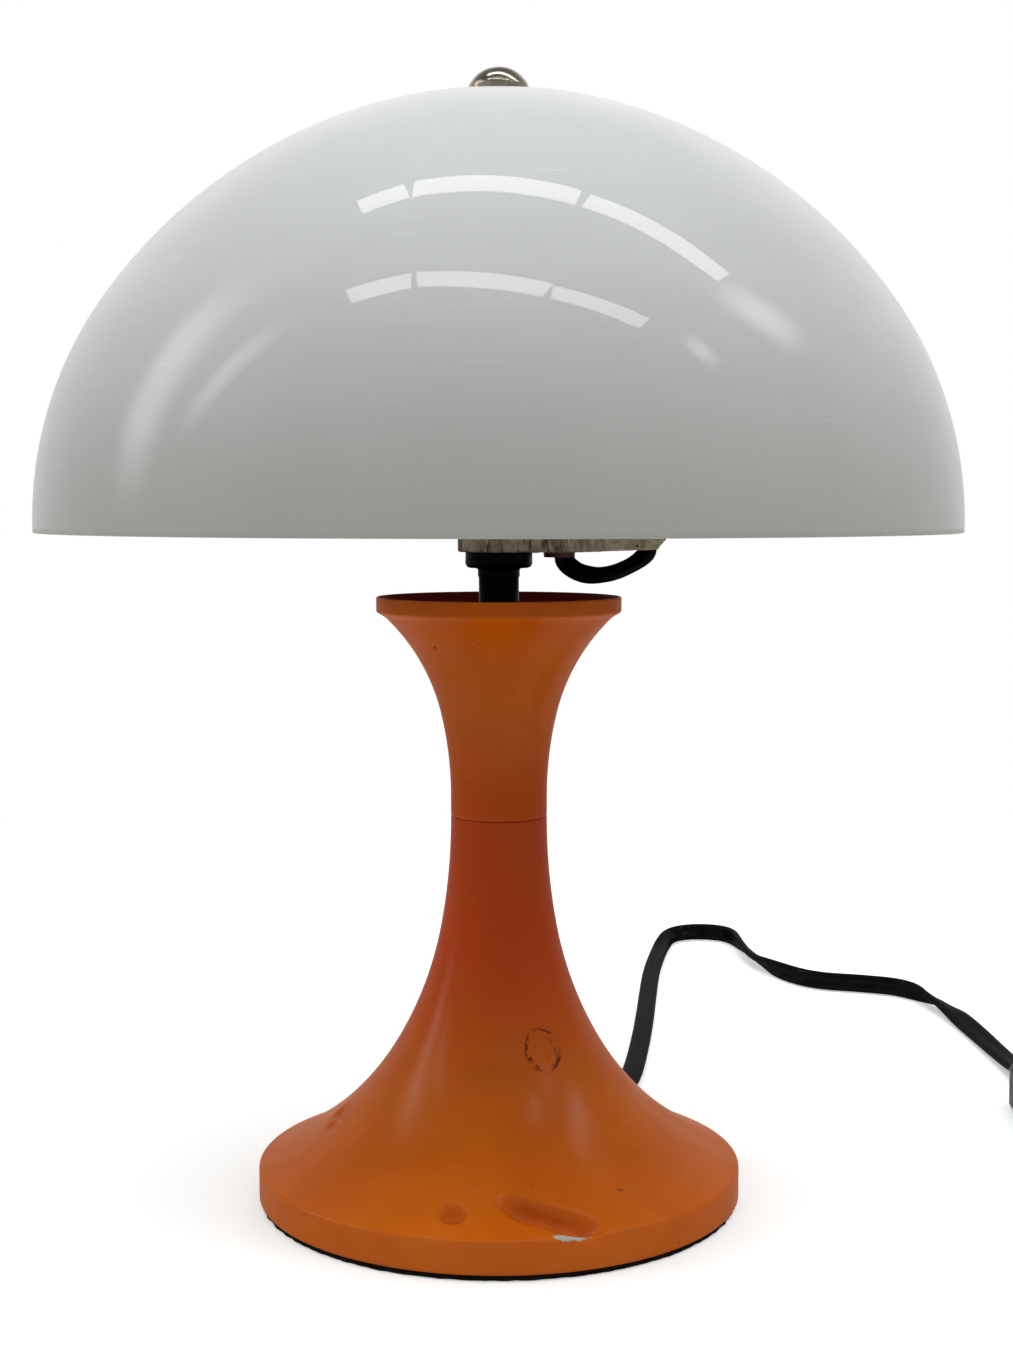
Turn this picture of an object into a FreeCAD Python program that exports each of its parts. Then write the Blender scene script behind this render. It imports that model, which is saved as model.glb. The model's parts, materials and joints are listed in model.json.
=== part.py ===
"""Mushroom table lamp: an opal dome on a threaded stem, over a spun, painted trumpet foot.

Millimetres, +Z up.  The stem's axis is the Z axis and the felt rests on Z = 0.
"""

import FreeCAD, Part
import Sketcher
import math
import os
import re

Vector = FreeCAD.Vector
Rotation = FreeCAD.Rotation
Placement = FreeCAD.Placement
UP = Vector(0, 0, 1)

# ---------------------------------------------------------------------------
# Driving dimensions
# ---------------------------------------------------------------------------
SIZES = {
    # stem: a painted M10 lamp tube that carries everything
    "tube_r": 5.1,
    "tube_bore_r": 4.0,
    "tube_bottom_z": 9.0,
    "thread_gap": 0.05,
    "nut_flats": 14.0,
    "nut_thick": 4.0,
    # felt and foot
    "felt_inset": 0.8,
    "felt_thick": 1.8,
    "felt_hole_r": 14.0,
    "sheet_wall": 0.9,
    "sheet_bend_r": 1.3,
    "foot_r": 67.0,
    "foot_band": 8.8,
    "flare_low_r": 28.4,
    "flare_low_z": 43.9,
    "flare_high_r": 16.25,
    "flare_high_z": 76.0,
    "neck_r": 13.3,
    "seam_z": 107.4,
    # upper bell
    "bell_straight": 5.6,
    "bell_mid_r": 16.0,
    "bell_mid_z": 135.9,
    "bell_step_r": 31.4,
    "bell_step_z": 162.6,
    "bell_r": 33.7,
    "bell_band_z": 163.9,
    "bell_top_z": 168.0,
    # ballast in the foot
    "fit_gap": 0.3,
    "ballast_edge": 7.4,
    "ballast_mid_r": 52.0,
    "ballast_mid_z": 14.5,
    "ballast_top_r": 38.0,
    "ballast_top_z": 22.0,
    "recess_r": 22.0,
    "recess_z": 15.5,
    "washer_thick": 1.5,
    "base_washer_r": 14.0,
    "neck_washer_r": 11.0,
    # collar and arm under the shade
    "collar_r": 9.2,
    "collar_thick": 4.3,
    "collar_round": 1.3,
    "arm_z": 180.2,
    "arm_thick": 5.0,
    "arm_boss_r": 11.3,
    "arm_end_r": 7.5,
    "arm_taper_x": 20.0,
    "arm_taper": 0.8,
    "arm_bevel": 3.4,
    "arm_washer_r": 8.6,
    "arm_washer_thick": 1.0,
    "bush_x": 16.6,
    "bush_bore_r": 3.3,
    "bush_wall": 0.45,
    "bush_flange_r": 4.3,
    "bush_flange": 1.4,
    "bush_proud": 0.8,
    # lampholder on the end of the arm
    "holder_x": 39.0,
    "nipple_r": 5.0,
    "nipple_long": 10.2,
    "holder_nut_flats": 13.0,
    "holder_nut_thick": 3.0,
    "holder_cap_r": 14.0,
    "holder_cap_tall": 15.0,
    "holder_wall": 1.9,
    "holder_floor": 2.5,
    "holder_base_z": 192.0,
    "holder_base": 5.0,
    "holder_tall": 30.3,
    "shell_bore_r": 7.0,
    "shell_wall": 0.6,
    "shell_tall": 22.0,
    "contact_r": 3.0,
    "contact_tall": 2.6,
    "terminal_wide": 5.0,
    "terminal_deep": 2.6,
    "terminal_tall": 4.0,
    "terminal_y": 8.4,
    # bulb: a small round opal bulb with a 14 mm screw cap
    "bulb_run_gap": 0.05,
    "bulb_tip_r": 2.4,
    "bulb_tip_gap": 0.3,
    "bulb_tip_tall": 1.2,
    "bulb_cap_tall": 21.5,
    "bulb_neck_r": 9.4,
    "bulb_round_share": 0.4327,
    "bulb_tall_least": 23.4,
    "bulb_tall_share": 0.3604,
    "bulb_shoulder": 42.0,
    "glass_wall": 0.8,
    # shade
    "shade_top_z": 302.0,
    "shade_land_r": 8.2,
    "shade_high_r": 36.8,
    "shade_high_share": 0.9613,
    "shade_low_r": 106.0,
    "shade_low_share": 0.5232,
    "shade_r": 124.6,
    "shade_rim_z": 185.8,
    "shade_wall": 3.0,
    "shade_hole_gap": 0.3,
    # finial
    "finial_washer_r": 7.6,
    "finial_washer_thick": 0.8,
    "finial_r": 8.2,
    "finial_skirt": 2.6,
    "finial_tall": 7.7,
    "finial_bore": 5.6,
    "finial_thread": 4.6,
    # flat twin cord
    "cord_wide": 6.3,
    "cord_thick": 2.8,
    "cord_gap": 0.1,
    "cord_exit_z": 5.6,
    "cord_azimuth": 66.0,
    "cord_bend": 6.0,
    "slot_low_z": 193.6,
    "slot_tall": 8.6,
    # rubber bush where the cord leaves the foot
    "grommet_wall": 1.0,
    "grommet_lip": 1.0,
    "grommet_lip_thick": 1.3,
    "grommet_in": 1.2,
    "channel_wide": 12.0,
    "channel_top_z": 9.6,
    "clamp_x": 42.0,
    "clamp_long": 6.0,
    "clamp_wide": 18.0,
    "clamp_thick": 2.0,
    "clamp_screw_y": 6.4,
    "clamp_screw_r": 1.5,
    "clamp_screw_long": 9.0,
    # inline rocker switch
    "switch_x": 174.1,
    "switch_y": 56.5,
    "switch_heading": -91.0,
    "switch_long": 60.0,
    "switch_wide": 22.0,
    "switch_corner": 7.0,
    "switch_bottom_z": 0.2,
    "switch_split_z": 6.4,
    "switch_top_z": 14.2,
    "switch_edge": 1.8,
    "rocker_r": 10.2,
    "rocker_wide": 9.0,
    "rocker_gap": 0.35,
    "rocker_high": 5.8,
    "rocker_dip": 1.5,
    "rocker_low": 2.8,
    "rocker_low_half": 6.0,
    "rocker_tilt": 8.0,
    "pivot_z": 10.2,
    "pivot_r": 1.2,
    "pivot_long": 1.2,
    "switch_screw_x": 22.0,
    "switch_screw_r": 1.4,
    "switch_screw_long": 9.0,
    "switch_head_r": 2.6,
    "switch_head": 1.8,
    # plug: a flat two-pin mains plug
    "plug_x": 232.2,
    "plug_y": 26.0,
    "plug_z": 7.05,
    "plug_heading": 88.0,
    "relief_long": 14.0,
    "relief_rear_r": 3.7,
    "relief_front_r": 5.4,
    "plug_long": 27.0,
    "plug_rear_wide": 15.0,
    "plug_wide": 35.3,
    "plug_face_long": 7.0,
    "plug_thick": 13.7,
    "plug_edge": 2.4,
    "pin_r": 2.0,
    "pin_long": 19.0,
    "pin_spacing": 18.6,
    "pin_sunk": 6.0,
    # coil of the unused length
    "coil_x": 195.9,
    "coil_y": -28.65,
    "coil_bottom_z": 0.1,
    "coil_r": 33.5,
    "coil_wide": 9.2,
    "coil_tall": 12.9,
    "coil_round": 1.5,
}

# The cord's ways: to the lampholder, over the table to the switch, on to the coil, and to the plug.
HOLDER_WAY = [
    (0.0, 0.0, 150.0),
    (0.0, 0.0, 199.3),
    (16.6, 0.0, 199.3),
    (16.6, 0.0, 176.2),
    (22.0, 0.0, 172.4),
    (31.5, 0.0, 172.4),
    (37.8, 0.0, 177.3),
    (39.0, 0.0, 184.0),
    (39.0, 0.0, 191.0),
]
LAMP_WAY = [
    (27.81, 62.46, 5.6),
    (36.33, 81.6, 2.6),
    (43.0, 103.0, 1.5),
    (48.6, 143.0, 1.5),
    (53.2, 184.0, 1.5),
    (57.0, 224.0, 1.5),
    (60.0, 262.0, 1.5),
    (61.9, 294.0, 1.5),
    (63.2, 322.0, 1.5),
    (83.2, 335.2, 1.5),
    (105.3, 326.2, 1.5),
    (110.2, 296.0, 1.5),
    (116.0, 267.0, 1.5),
    (127.5, 243.0, 1.5),
    (145.0, 234.8, 1.5),
    (160.6, 225.0, 1.5),
    (169.4, 202.5, 1.5),
    (172.9, 166.0, 1.5),
    (175.2, 128.0, 1.5),
    (175.05, 108.0, 4.2),
    (174.82, 97.0, 6.6),
    (174.63, 86.55, 6.6),
]
COIL_WAY = [
    (173.58, 26.45, 6.6),
    (173.44, 18.5, 6.6),
    (172.75, 10.5, 5.4),
    (170.7, 3.2, 4.0),
]
PLUG_WAY = [
    (230.2, -5.8, 9.4),
    (231.0, 4.5, 8.2),
    (231.82, 15.0, 7.05),
    (232.2, 25.95, 7.05),
]
FOOT_CORD_TOP = 40.0

document = FreeCAD.newDocument("MushroomLamp")
sheet = document.addObject("Spreadsheet::Sheet", "Sizes")
for row, (alias, value) in enumerate(SIZES.items(), start=1):
    sheet.set(f"A{row}", alias)
    sheet.set(f"B{row}", str(value))
    sheet.setAlias(f"B{row}", alias)
document.recompute()

parts = {}


# ---------------------------------------------------------------------------
# Shared helpers
# ---------------------------------------------------------------------------
def bind(text):
    """Turn plain size names into expressions on the sheet."""
    return re.sub(r"[a-z][a-z0-9_]*", lambda word: f"Sizes.{word[0]}" if word[0] in SIZES else word[0], str(text))


def number(text):
    """Value of an expression, in millimetres or degrees."""
    return float(sheet.evalExpression(str(text)))


def keep(name, item):
    """Give a finished piece its name, which also names its file."""
    item.Label = name
    parts[name] = item
    return item


def plane(body, role):
    """Origin plane of a body, found by its role."""
    return next(feature for feature in body.Origin.OriginFeatures if feature.Role == role)


def hold(sketch, entity, point, across, height):
    """Hold a sketch point by two distances that follow the sheet."""
    for kind, text in (("DistanceX", across), ("DistanceY", height)):
        index = sketch.addConstraint(Sketcher.Constraint(kind, -1, 1, entity, point, number(text)))
        sketch.setExpression(f"Constraints[{index}]", bind(text))


def near(sketch, entity, place):
    """Which end of a sketch entity lies at a place: 1 for its start, 2 for its end."""
    ends = (sketch.getPoint(entity, 1), sketch.getPoint(entity, 2))
    return 1 if (ends[0] - place).Length < (ends[1] - place).Length else 2


def tangent_arc(start, heading, end):
    """Arc that leaves start along heading and reaches end, and its heading there."""
    chord = end - start
    normal = Vector(-heading.y, heading.x, 0)
    half_turn = math.degrees(math.atan2(chord.dot(normal), chord.dot(heading)))
    radius = chord.dot(chord) / (2 * chord.dot(normal))
    centre = start + normal * radius
    middle = centre + Rotation(UP, half_turn).multVec(start - centre)
    return Part.Arc(start, middle, end), Rotation(UP, 2 * half_turn).multVec(heading)


def draw(sketch, start, *steps, heading=None, close=False):
    """Draw a chain of lines and tangent arcs.  Each corner is held by two sizes from the sheet."""
    here = Vector(number(start[0]), number(start[1]), 0)
    first = here
    before = None
    for kind, across, height in steps:
        there = Vector(number(across), number(height), 0)
        if kind == "line":
            shape = Part.LineSegment(here, there)
            heading = there - here
            heading.normalize()
        else:
            shape, heading = tangent_arc(here, heading, there)
        entity = sketch.addGeometry(shape)
        near_end = near(sketch, entity, here)
        far_end = near(sketch, entity, there)
        if before is None:
            hold(sketch, entity, near_end, *start)
            opening = (entity, near_end)
        elif kind == "arc":
            sketch.addConstraint(Sketcher.Constraint("Tangent", *before, entity, near_end))
        else:
            sketch.addConstraint(Sketcher.Constraint("Coincident", *before, entity, near_end))
        hold(sketch, entity, far_end, across, height)
        before = (entity, far_end)
        here = there
    if close and (here - first).Length > 1e-6:
        entity = sketch.addGeometry(Part.LineSegment(here, first))
        sketch.addConstraint(Sketcher.Constraint("Coincident", *before, entity, 1))
        sketch.addConstraint(Sketcher.Constraint("Coincident", entity, 2, *opening))


def new_body(name):
    """Empty body for one piece."""
    return document.addObject("PartDesign::Body", name)


def body_sketch(body, role, offset=None):
    """Sketch on one of the body's own origin planes."""
    sketch = body.newObject("Sketcher::SketchObject", body.Name + "Sketch")
    sketch.AttachmentSupport = [(plane(body, role), "")]
    sketch.MapMode = "FlatFace"
    if offset is not None:
        sketch.AttachmentOffset = Placement(Vector(0, 0, number(offset)), Rotation())
        sketch.setExpression(".AttachmentOffset.Base.z", bind(offset))
    return sketch


def turned(name, start, *steps, heading=None):
    """Turned piece: a closed outline of radius and height, revolved about the stem's axis."""
    body = new_body(name)
    sketch = body_sketch(body, "XZ_Plane")
    draw(sketch, start, *steps, heading=heading, close=True)
    revolution = body.newObject("PartDesign::Revolution", name + "Turn")
    revolution.Profile = sketch
    revolution.ReferenceAxis = (sketch, ["V_Axis"])
    revolution.Angle = 360
    return body


def ring(name, inner, outer, bottom, top):
    """Plain turned ring or disc."""
    return turned(name, (inner, bottom), ("line", outer, bottom), ("line", outer, top), ("line", inner, top))


def spun(name, wall, start, *steps, heading=None):
    """Spun or blown shell: an open outline, thickened by the wall and revolved."""
    outline = document.addObject("Sketcher::SketchObject", name + "Outline")
    outline.Placement = Placement(Vector(), Rotation(Vector(1, 0, 0), 90))
    draw(outline, start, *steps, heading=heading)
    band = document.addObject("Part::Offset2D", name + "Wall")
    band.Source = outline
    band.Mode = "Skin"
    band.Join = "Intersection"
    band.Fill = True
    band.setExpression("Value", bind(wall))
    shell = document.addObject("Part::Revolution", name + "Shell")
    shell.Source = band
    shell.Axis = UP
    shell.Angle = 360
    shell.Solid = True
    return shell


def block(name, x, y, z, long, wide, tall):
    """Box whose corner and sides follow the sheet."""
    box = document.addObject("Part::Box", name)
    for field, text in (("Length", long), ("Width", wide), ("Height", tall)):
        box.setExpression(field, bind(text))
    for field, text in (("x", x), ("y", y), ("z", z)):
        box.setExpression(f".Placement.Base.{field}", bind(text))
    return box


def rod(name, radius, long, x, y, z, along=None):
    """Cylinder whose size and place follow the sheet, standing up or lying along an axis."""
    cylinder = document.addObject("Part::Cylinder", name)
    if along is not None:
        cylinder.Placement = Placement(Vector(), Rotation(UP, along))
    cylinder.setExpression("Radius", bind(radius))
    cylinder.setExpression("Height", bind(long))
    for field, text in (("x", x), ("y", y), ("z", z)):
        cylinder.setExpression(f".Placement.Base.{field}", bind(text))
    return cylinder


def cut(name, base, tool):
    """One piece less another."""
    result = document.addObject("Part::Cut", name)
    result.Base = base
    result.Tool = tool
    return result


def fuse(name, shapes):
    """Pieces joined into one."""
    result = document.addObject("Part::MultiFuse", name)
    result.Shapes = shapes
    result.Refine = True
    return result


def several(name, shapes):
    """Separate solids kept together as one named piece."""
    result = document.addObject("Part::Compound", name)
    result.Links = shapes
    return result


def hex_nut(name, flats, thick, bore, x, z):
    """Hexagon nut on an upright thread."""
    prism = document.addObject("Part::Prism", name + "Hexagon")
    prism.Polygon = 6
    prism.setExpression("Circumradius", bind(f"{flats} / sqrt(3)"))
    prism.setExpression("Height", bind(thick))
    prism.setExpression(".Placement.Base.x", bind(x))
    prism.setExpression(".Placement.Base.z", bind(z))
    hole = rod(name + "Bore", bore, f"{thick} + 2", x, "0", f"{z} - 1")
    return cut(name, prism, hole)


def oval_bar(name, wide, thick, height, start, end):
    """Bar of oval section along X: flat sides above and below, round sides left and right."""
    sketch = document.addObject("Sketcher::SketchObject", name + "Section")
    sketch.Placement = Placement(Vector(), Rotation(Vector(1, 1, 1), 120))
    sketch.setExpression(".Placement.Base.x", bind(start))
    side = f"({wide} - ({thick})) / 2"
    low = f"{height} - ({thick}) / 2"
    high = f"{height} + ({thick}) / 2"
    draw(
        sketch,
        (f"-({side})", low),
        ("line", side, low),
        ("arc", side, high),
        ("line", f"-({side})", high),
        ("arc", f"-({side})", low),
    )
    bar = document.addObject("Part::Extrusion", name)
    bar.Base = sketch
    bar.DirMode = "Custom"
    bar.Dir = Vector(1, 0, 0)
    bar.setExpression("LengthFwd", bind(f"{end} - ({start})"))
    bar.Solid = True
    return bar


def rounded_pad(name, long, wide, corner, bottom, top, edge, edge_z):
    """Rounded oblong block, with the outer edge at one height softened."""
    body = new_body(name)
    sketch = body_sketch(body, "XY_Plane", bottom)
    end = f"{long} / 2"
    side = f"{wide} / 2"
    draw(
        sketch,
        (f"-({end} - {corner})", f"-{side}"),
        ("line", f"{end} - {corner}", f"-{side}"),
        ("arc", end, f"-({side} - {corner})"),
        ("line", end, f"{side} - {corner}"),
        ("arc", f"{end} - {corner}", side),
        ("line", f"-({end} - {corner})", side),
        ("arc", f"-{end}", f"{side} - {corner}"),
        ("line", f"-{end}", f"-({side} - {corner})"),
        ("arc", f"-({end} - {corner})", f"-{side}"),
    )
    pad = body.newObject("PartDesign::Pad", name + "Pad")
    pad.Profile = sketch
    pad.setExpression("Length", bind(f"{top} - {bottom}"))
    document.recompute()
    soften(body, pad, edge_z, edge)
    return body


def soften(body, feature, height, edge):
    """Fillet every edge of a feature that lies flat at one height."""
    level = number(height)
    names = [
        f"Edge{index}"
        for index, line in enumerate(feature.Shape.Edges, start=1)
        if abs(line.BoundBox.ZMin - level) < 1e-6 and abs(line.BoundBox.ZMax - level) < 1e-6
    ]
    fillet = body.newObject("PartDesign::Fillet", body.Name + "Edge" + str(len(body.Group)))
    fillet.Base = (feature, names)
    fillet.setExpression("Radius", bind(edge))
    document.recompute()
    return fillet


def face_exit(item):
    """Turn a piece that was made along X so that it points the way the cord leaves."""
    item.Placement = Placement(Vector(), Rotation(UP, 1))
    item.setExpression(".Placement.Rotation.Angle", bind("cord_azimuth"))
    return item


def set_down(item, x, y, z, heading):
    """Lay a piece that was made along X on the table."""
    item.Placement = Placement(Vector(), Rotation(UP, 1))
    for field, text in (("Base.x", x), ("Base.y", y), ("Base.z", z), ("Rotation.Angle", heading)):
        item.setExpression(f".Placement.{field}", bind(text))
    return item


def cord_route(points, bend=None):
    """Straight runs joined by tangent arcs, each as large as its two runs allow unless a bend is given."""
    points = [Vector(*point) for point in points]
    runs = [(after - before).Length for before, after in zip(points, points[1:])]
    edges = []
    radii = []
    here = points[0]
    for index in range(1, len(points) - 1):
        into = (points[index] - points[index - 1]).normalize()
        out = (points[index + 1] - points[index]).normalize()
        half_turn = into.getAngle(out) / 2
        radius = bend or 0.45 * min(runs[index - 1], runs[index]) / math.tan(half_turn)
        reach = radius * math.tan(half_turn)
        begin = points[index] - into * reach
        end = points[index] + out * reach
        inward = (out - into).normalize() * (radius / math.cos(half_turn) - radius)
        edges.append(Part.LineSegment(here, begin).toShape())
        edges.append(Part.Arc(begin, points[index] + inward, end).toShape())
        radii.append(round(radius, 1))
        here = end
    edges.append(Part.LineSegment(here, points[-1]).toShape())
    return Part.Wire(edges), radii


def cord_section(centre, across, thin):
    """Oval section of the flat cord at a place, with its wide and its thin direction."""
    wide = number("cord_wide")
    thick = number("cord_thick")
    side = across * ((wide - thick) / 2)
    half = thin * (thick / 2)
    bulge = across * (wide / 2)
    return Part.Wire(
        [
            Part.LineSegment(centre - side - half, centre + side - half).toShape(),
            Part.Arc(centre + side - half, centre + bulge, centre + side + half).toShape(),
            Part.LineSegment(centre + side + half, centre - side + half).toShape(),
            Part.Arc(centre - side + half, centre - bulge, centre - side - half).toShape(),
        ]
    )


def flat_cord(name, points, across, thin, fixed, bend=None):
    """Flat cord along a route, with its section's two directions at the start and the one that stays fixed."""
    path, radii = cord_route(points, bend)
    section = cord_section(Vector(*points[0]), across, thin)
    sweep = Part.BRepOffsetAPI.MakePipeShell(path)
    sweep.setBiNormalMode(fixed)
    sweep.add(section, False, False)
    sweep.build()
    sweep.makeSolid()
    item = document.addObject("Part::Feature", name)
    item.Shape = sweep.shape()
    ratio = item.Shape.Volume / (Part.Face(section).Area * path.Length)
    print(f"{name}: length {path.Length:.1f}, radii {radii}, volume over section and length {ratio:.4f}")
    return item


def lying_cord(name, points):
    """Flat cord with its wide side down on the table and its end faces upright."""
    along = Vector(*points[1]) - Vector(*points[0])
    return flat_cord(name, points, UP.cross(along).normalize(), UP, UP)


# ---------------------------------------------------------------------------
# Foot: felt, spun trumpet, ballast and the nut under it
# ---------------------------------------------------------------------------
BORE = "tube_r + thread_gap"
BAND_TOP = "felt_thick + foot_band"


def make_felt():
    """Black pad that the lamp rests on."""
    keep("felt_pad", ring("Felt", "felt_hole_r", "foot_r - felt_inset", "0", "felt_thick"))


def make_trumpet():
    """Spun foot: neck, long flare and a short upright band, with an oval hole for the cord."""
    shell = spun(
        "Trumpet",
        "-sheet_wall",
        (BORE, "seam_z"),
        ("line", "neck_r - sheet_bend_r", "seam_z"),
        ("arc", "neck_r", "seam_z - sheet_bend_r"),
        ("arc", "flare_high_r", "flare_high_z"),
        ("arc", "flare_low_r", "flare_low_z"),
        ("arc", "foot_r", BAND_TOP),
        ("line", "foot_r", "felt_thick"),
    )
    hole = oval_bar(
        "TrumpetHole",
        "cord_wide + 2 * (cord_gap + grommet_wall + thread_gap)",
        "cord_thick + 2 * (cord_gap + grommet_wall + thread_gap)",
        "cord_exit_z",
        "foot_r - 8",
        "foot_r + 4",
    )
    keep("foot_trumpet", face_exit(cut("FootTrumpet", shell, hole)))


def make_ballast():
    """Cast weight that fills the foot, with a recess for the nut and a channel for the cord."""
    casting = turned(
        "BallastCasting",
        (BORE, "recess_z"),
        ("line", "recess_r", "recess_z"),
        ("line", "recess_r", "felt_thick"),
        ("line", "foot_r - sheet_wall - fit_gap", "felt_thick"),
        ("line", "foot_r - sheet_wall - fit_gap", "felt_thick + ballast_edge"),
        ("line", "ballast_mid_r", "ballast_mid_z"),
        ("line", "ballast_top_r", "ballast_top_z"),
        ("line", BORE, "ballast_top_z"),
    )
    channel = block(
        "Channel",
        "recess_r - 4",
        "-channel_wide / 2",
        "felt_thick - 1",
        "foot_r - recess_r + 6",
        "channel_wide",
        "channel_top_z - felt_thick + 1",
    )
    seat = block(
        "ClampSeat",
        "clamp_x - clamp_long / 2 - fit_gap",
        "-clamp_wide / 2 - fit_gap",
        "felt_thick - 1",
        "clamp_long + 2 * fit_gap",
        "clamp_wide + 2 * fit_gap",
        "cord_exit_z - cord_thick / 2 - felt_thick + 1",
    )
    holes = [
        rod(f"ClampHole{side}", "clamp_screw_r + thread_gap", "12", "clamp_x", f"{sign} * clamp_screw_y", "felt_thick")
        for side, sign in (("Left", 1), ("Right", -1))
    ]
    keep("ballast_weight", face_exit(cut("Ballast", casting, fuse("BallastCuts", [channel, seat, *holes]))))


def make_base_nut():
    """Washer and nut that draw the ballast up into the foot."""
    keep("base_washer", ring("BaseWasher", BORE, "base_washer_r", "recess_z - washer_thick", "recess_z"))
    nut_z = "recess_z - washer_thick - nut_thick"
    keep("base_nut", hex_nut("BaseNut", "nut_flats", "nut_thick", BORE, "0", nut_z))


def make_grommet():
    """Oval rubber bush in the foot's band, with a lip on each side of the sheet."""
    sleeve_wide = "cord_wide + 2 * (cord_gap + grommet_wall)"
    sleeve_thick = "cord_thick + 2 * (cord_gap + grommet_wall)"
    lip_wide = f"{sleeve_wide} + 2 * grommet_lip"
    lip_thick = f"{sleeve_thick} + 2 * grommet_lip"
    outside = "foot_r + thread_gap"
    inside = "foot_r - sheet_wall - 0.2"
    solid = fuse(
        "GrommetSolid",
        [
            oval_bar("GrommetSleeve", sleeve_wide, sleeve_thick, "cord_exit_z", inside, outside),
            oval_bar(
                "GrommetOuterLip", lip_wide, lip_thick, "cord_exit_z", outside, f"{outside} + grommet_lip_thick"
            ),
            oval_bar("GrommetInnerLip", lip_wide, lip_thick, "cord_exit_z", f"{inside} - grommet_in", inside),
        ],
    )
    bore = oval_bar(
        "GrommetBore",
        "cord_wide + 2 * cord_gap",
        "cord_thick + 2 * cord_gap",
        "cord_exit_z",
        "foot_r - 5",
        "foot_r + 5",
    )
    keep("cord_grommet", face_exit(cut("Grommet", solid, bore)))


def make_clamp():
    """Bar that holds the cord up against the ballast, and its two screws."""
    top = "cord_exit_z - cord_thick / 2"
    bar = block(
        "ClampBar",
        "clamp_x - clamp_long / 2",
        "-clamp_wide / 2",
        f"{top} - clamp_thick",
        "clamp_long",
        "clamp_wide",
        "clamp_thick",
    )
    holes = []
    screws = []
    for side, sign in (("Left", 1), ("Right", -1)):
        y = f"{sign} * clamp_screw_y"
        holes.append(rod(f"BarHole{side}", "clamp_screw_r + thread_gap", "12", "clamp_x", y, "0"))
        screws.append(rod(f"ClampScrew{side}", "clamp_screw_r", "clamp_screw_long", "clamp_x", y, f"{top} - clamp_thick"))
    keep("cord_clamp", face_exit(cut("Clamp", bar, fuse("BarHoles", holes))))
    keep("clamp_screws", face_exit(several("ClampScrews", screws)))


# ---------------------------------------------------------------------------
# Stem and bell
# ---------------------------------------------------------------------------
def make_stem():
    """Threaded tube from the foot to the finial, with a slot where the cord comes out."""
    top = "shade_top_z + finial_washer_thick + finial_thread"
    tube = ring("StemTube", "tube_bore_r", "tube_r", "tube_bottom_z", top)
    slot = block(
        "StemSlot",
        "0",
        "-cord_wide / 2 - fit_gap",
        "slot_low_z",
        "tube_r + 2",
        "cord_wide + 2 * fit_gap",
        "slot_tall",
    )
    keep("stem_tube", cut("Stem", tube, slot))


def make_bell():
    """Upper bell: a spun cup whose rim has an upright band above a small step."""
    keep(
        "bell_cup",
        spun(
            "Bell",
            "sheet_wall",
            (BORE, "seam_z"),
            ("line", "neck_r - sheet_bend_r", "seam_z"),
            ("arc", "neck_r", "seam_z + sheet_bend_r"),
            ("line", "neck_r", "seam_z + bell_straight"),
            ("arc", "bell_mid_r", "bell_mid_z"),
            ("arc", "bell_step_r", "bell_step_z"),
            ("line", "bell_r", "bell_band_z"),
            ("line", "bell_r", "bell_top_z"),
        ),
    )
    floor = "seam_z + sheet_wall"
    keep("neck_washer", ring("NeckWasher", BORE, "neck_washer_r", floor, f"{floor} + washer_thick"))
    keep("neck_nut", hex_nut("NeckNut", "nut_flats", "nut_thick", BORE, "0", f"{floor} + washer_thick"))


def make_collar():
    """Round collar on the thread that the arm rests on."""
    bottom = "arm_z - collar_thick"
    keep(
        "stem_collar",
        turned(
            "Collar",
            (BORE, bottom),
            ("line", "collar_r - collar_round", bottom),
            ("arc", "collar_r", f"{bottom} + collar_round"),
            ("line", "collar_r", "arm_z"),
            ("line", BORE, "arm_z"),
        ),
    )


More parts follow.
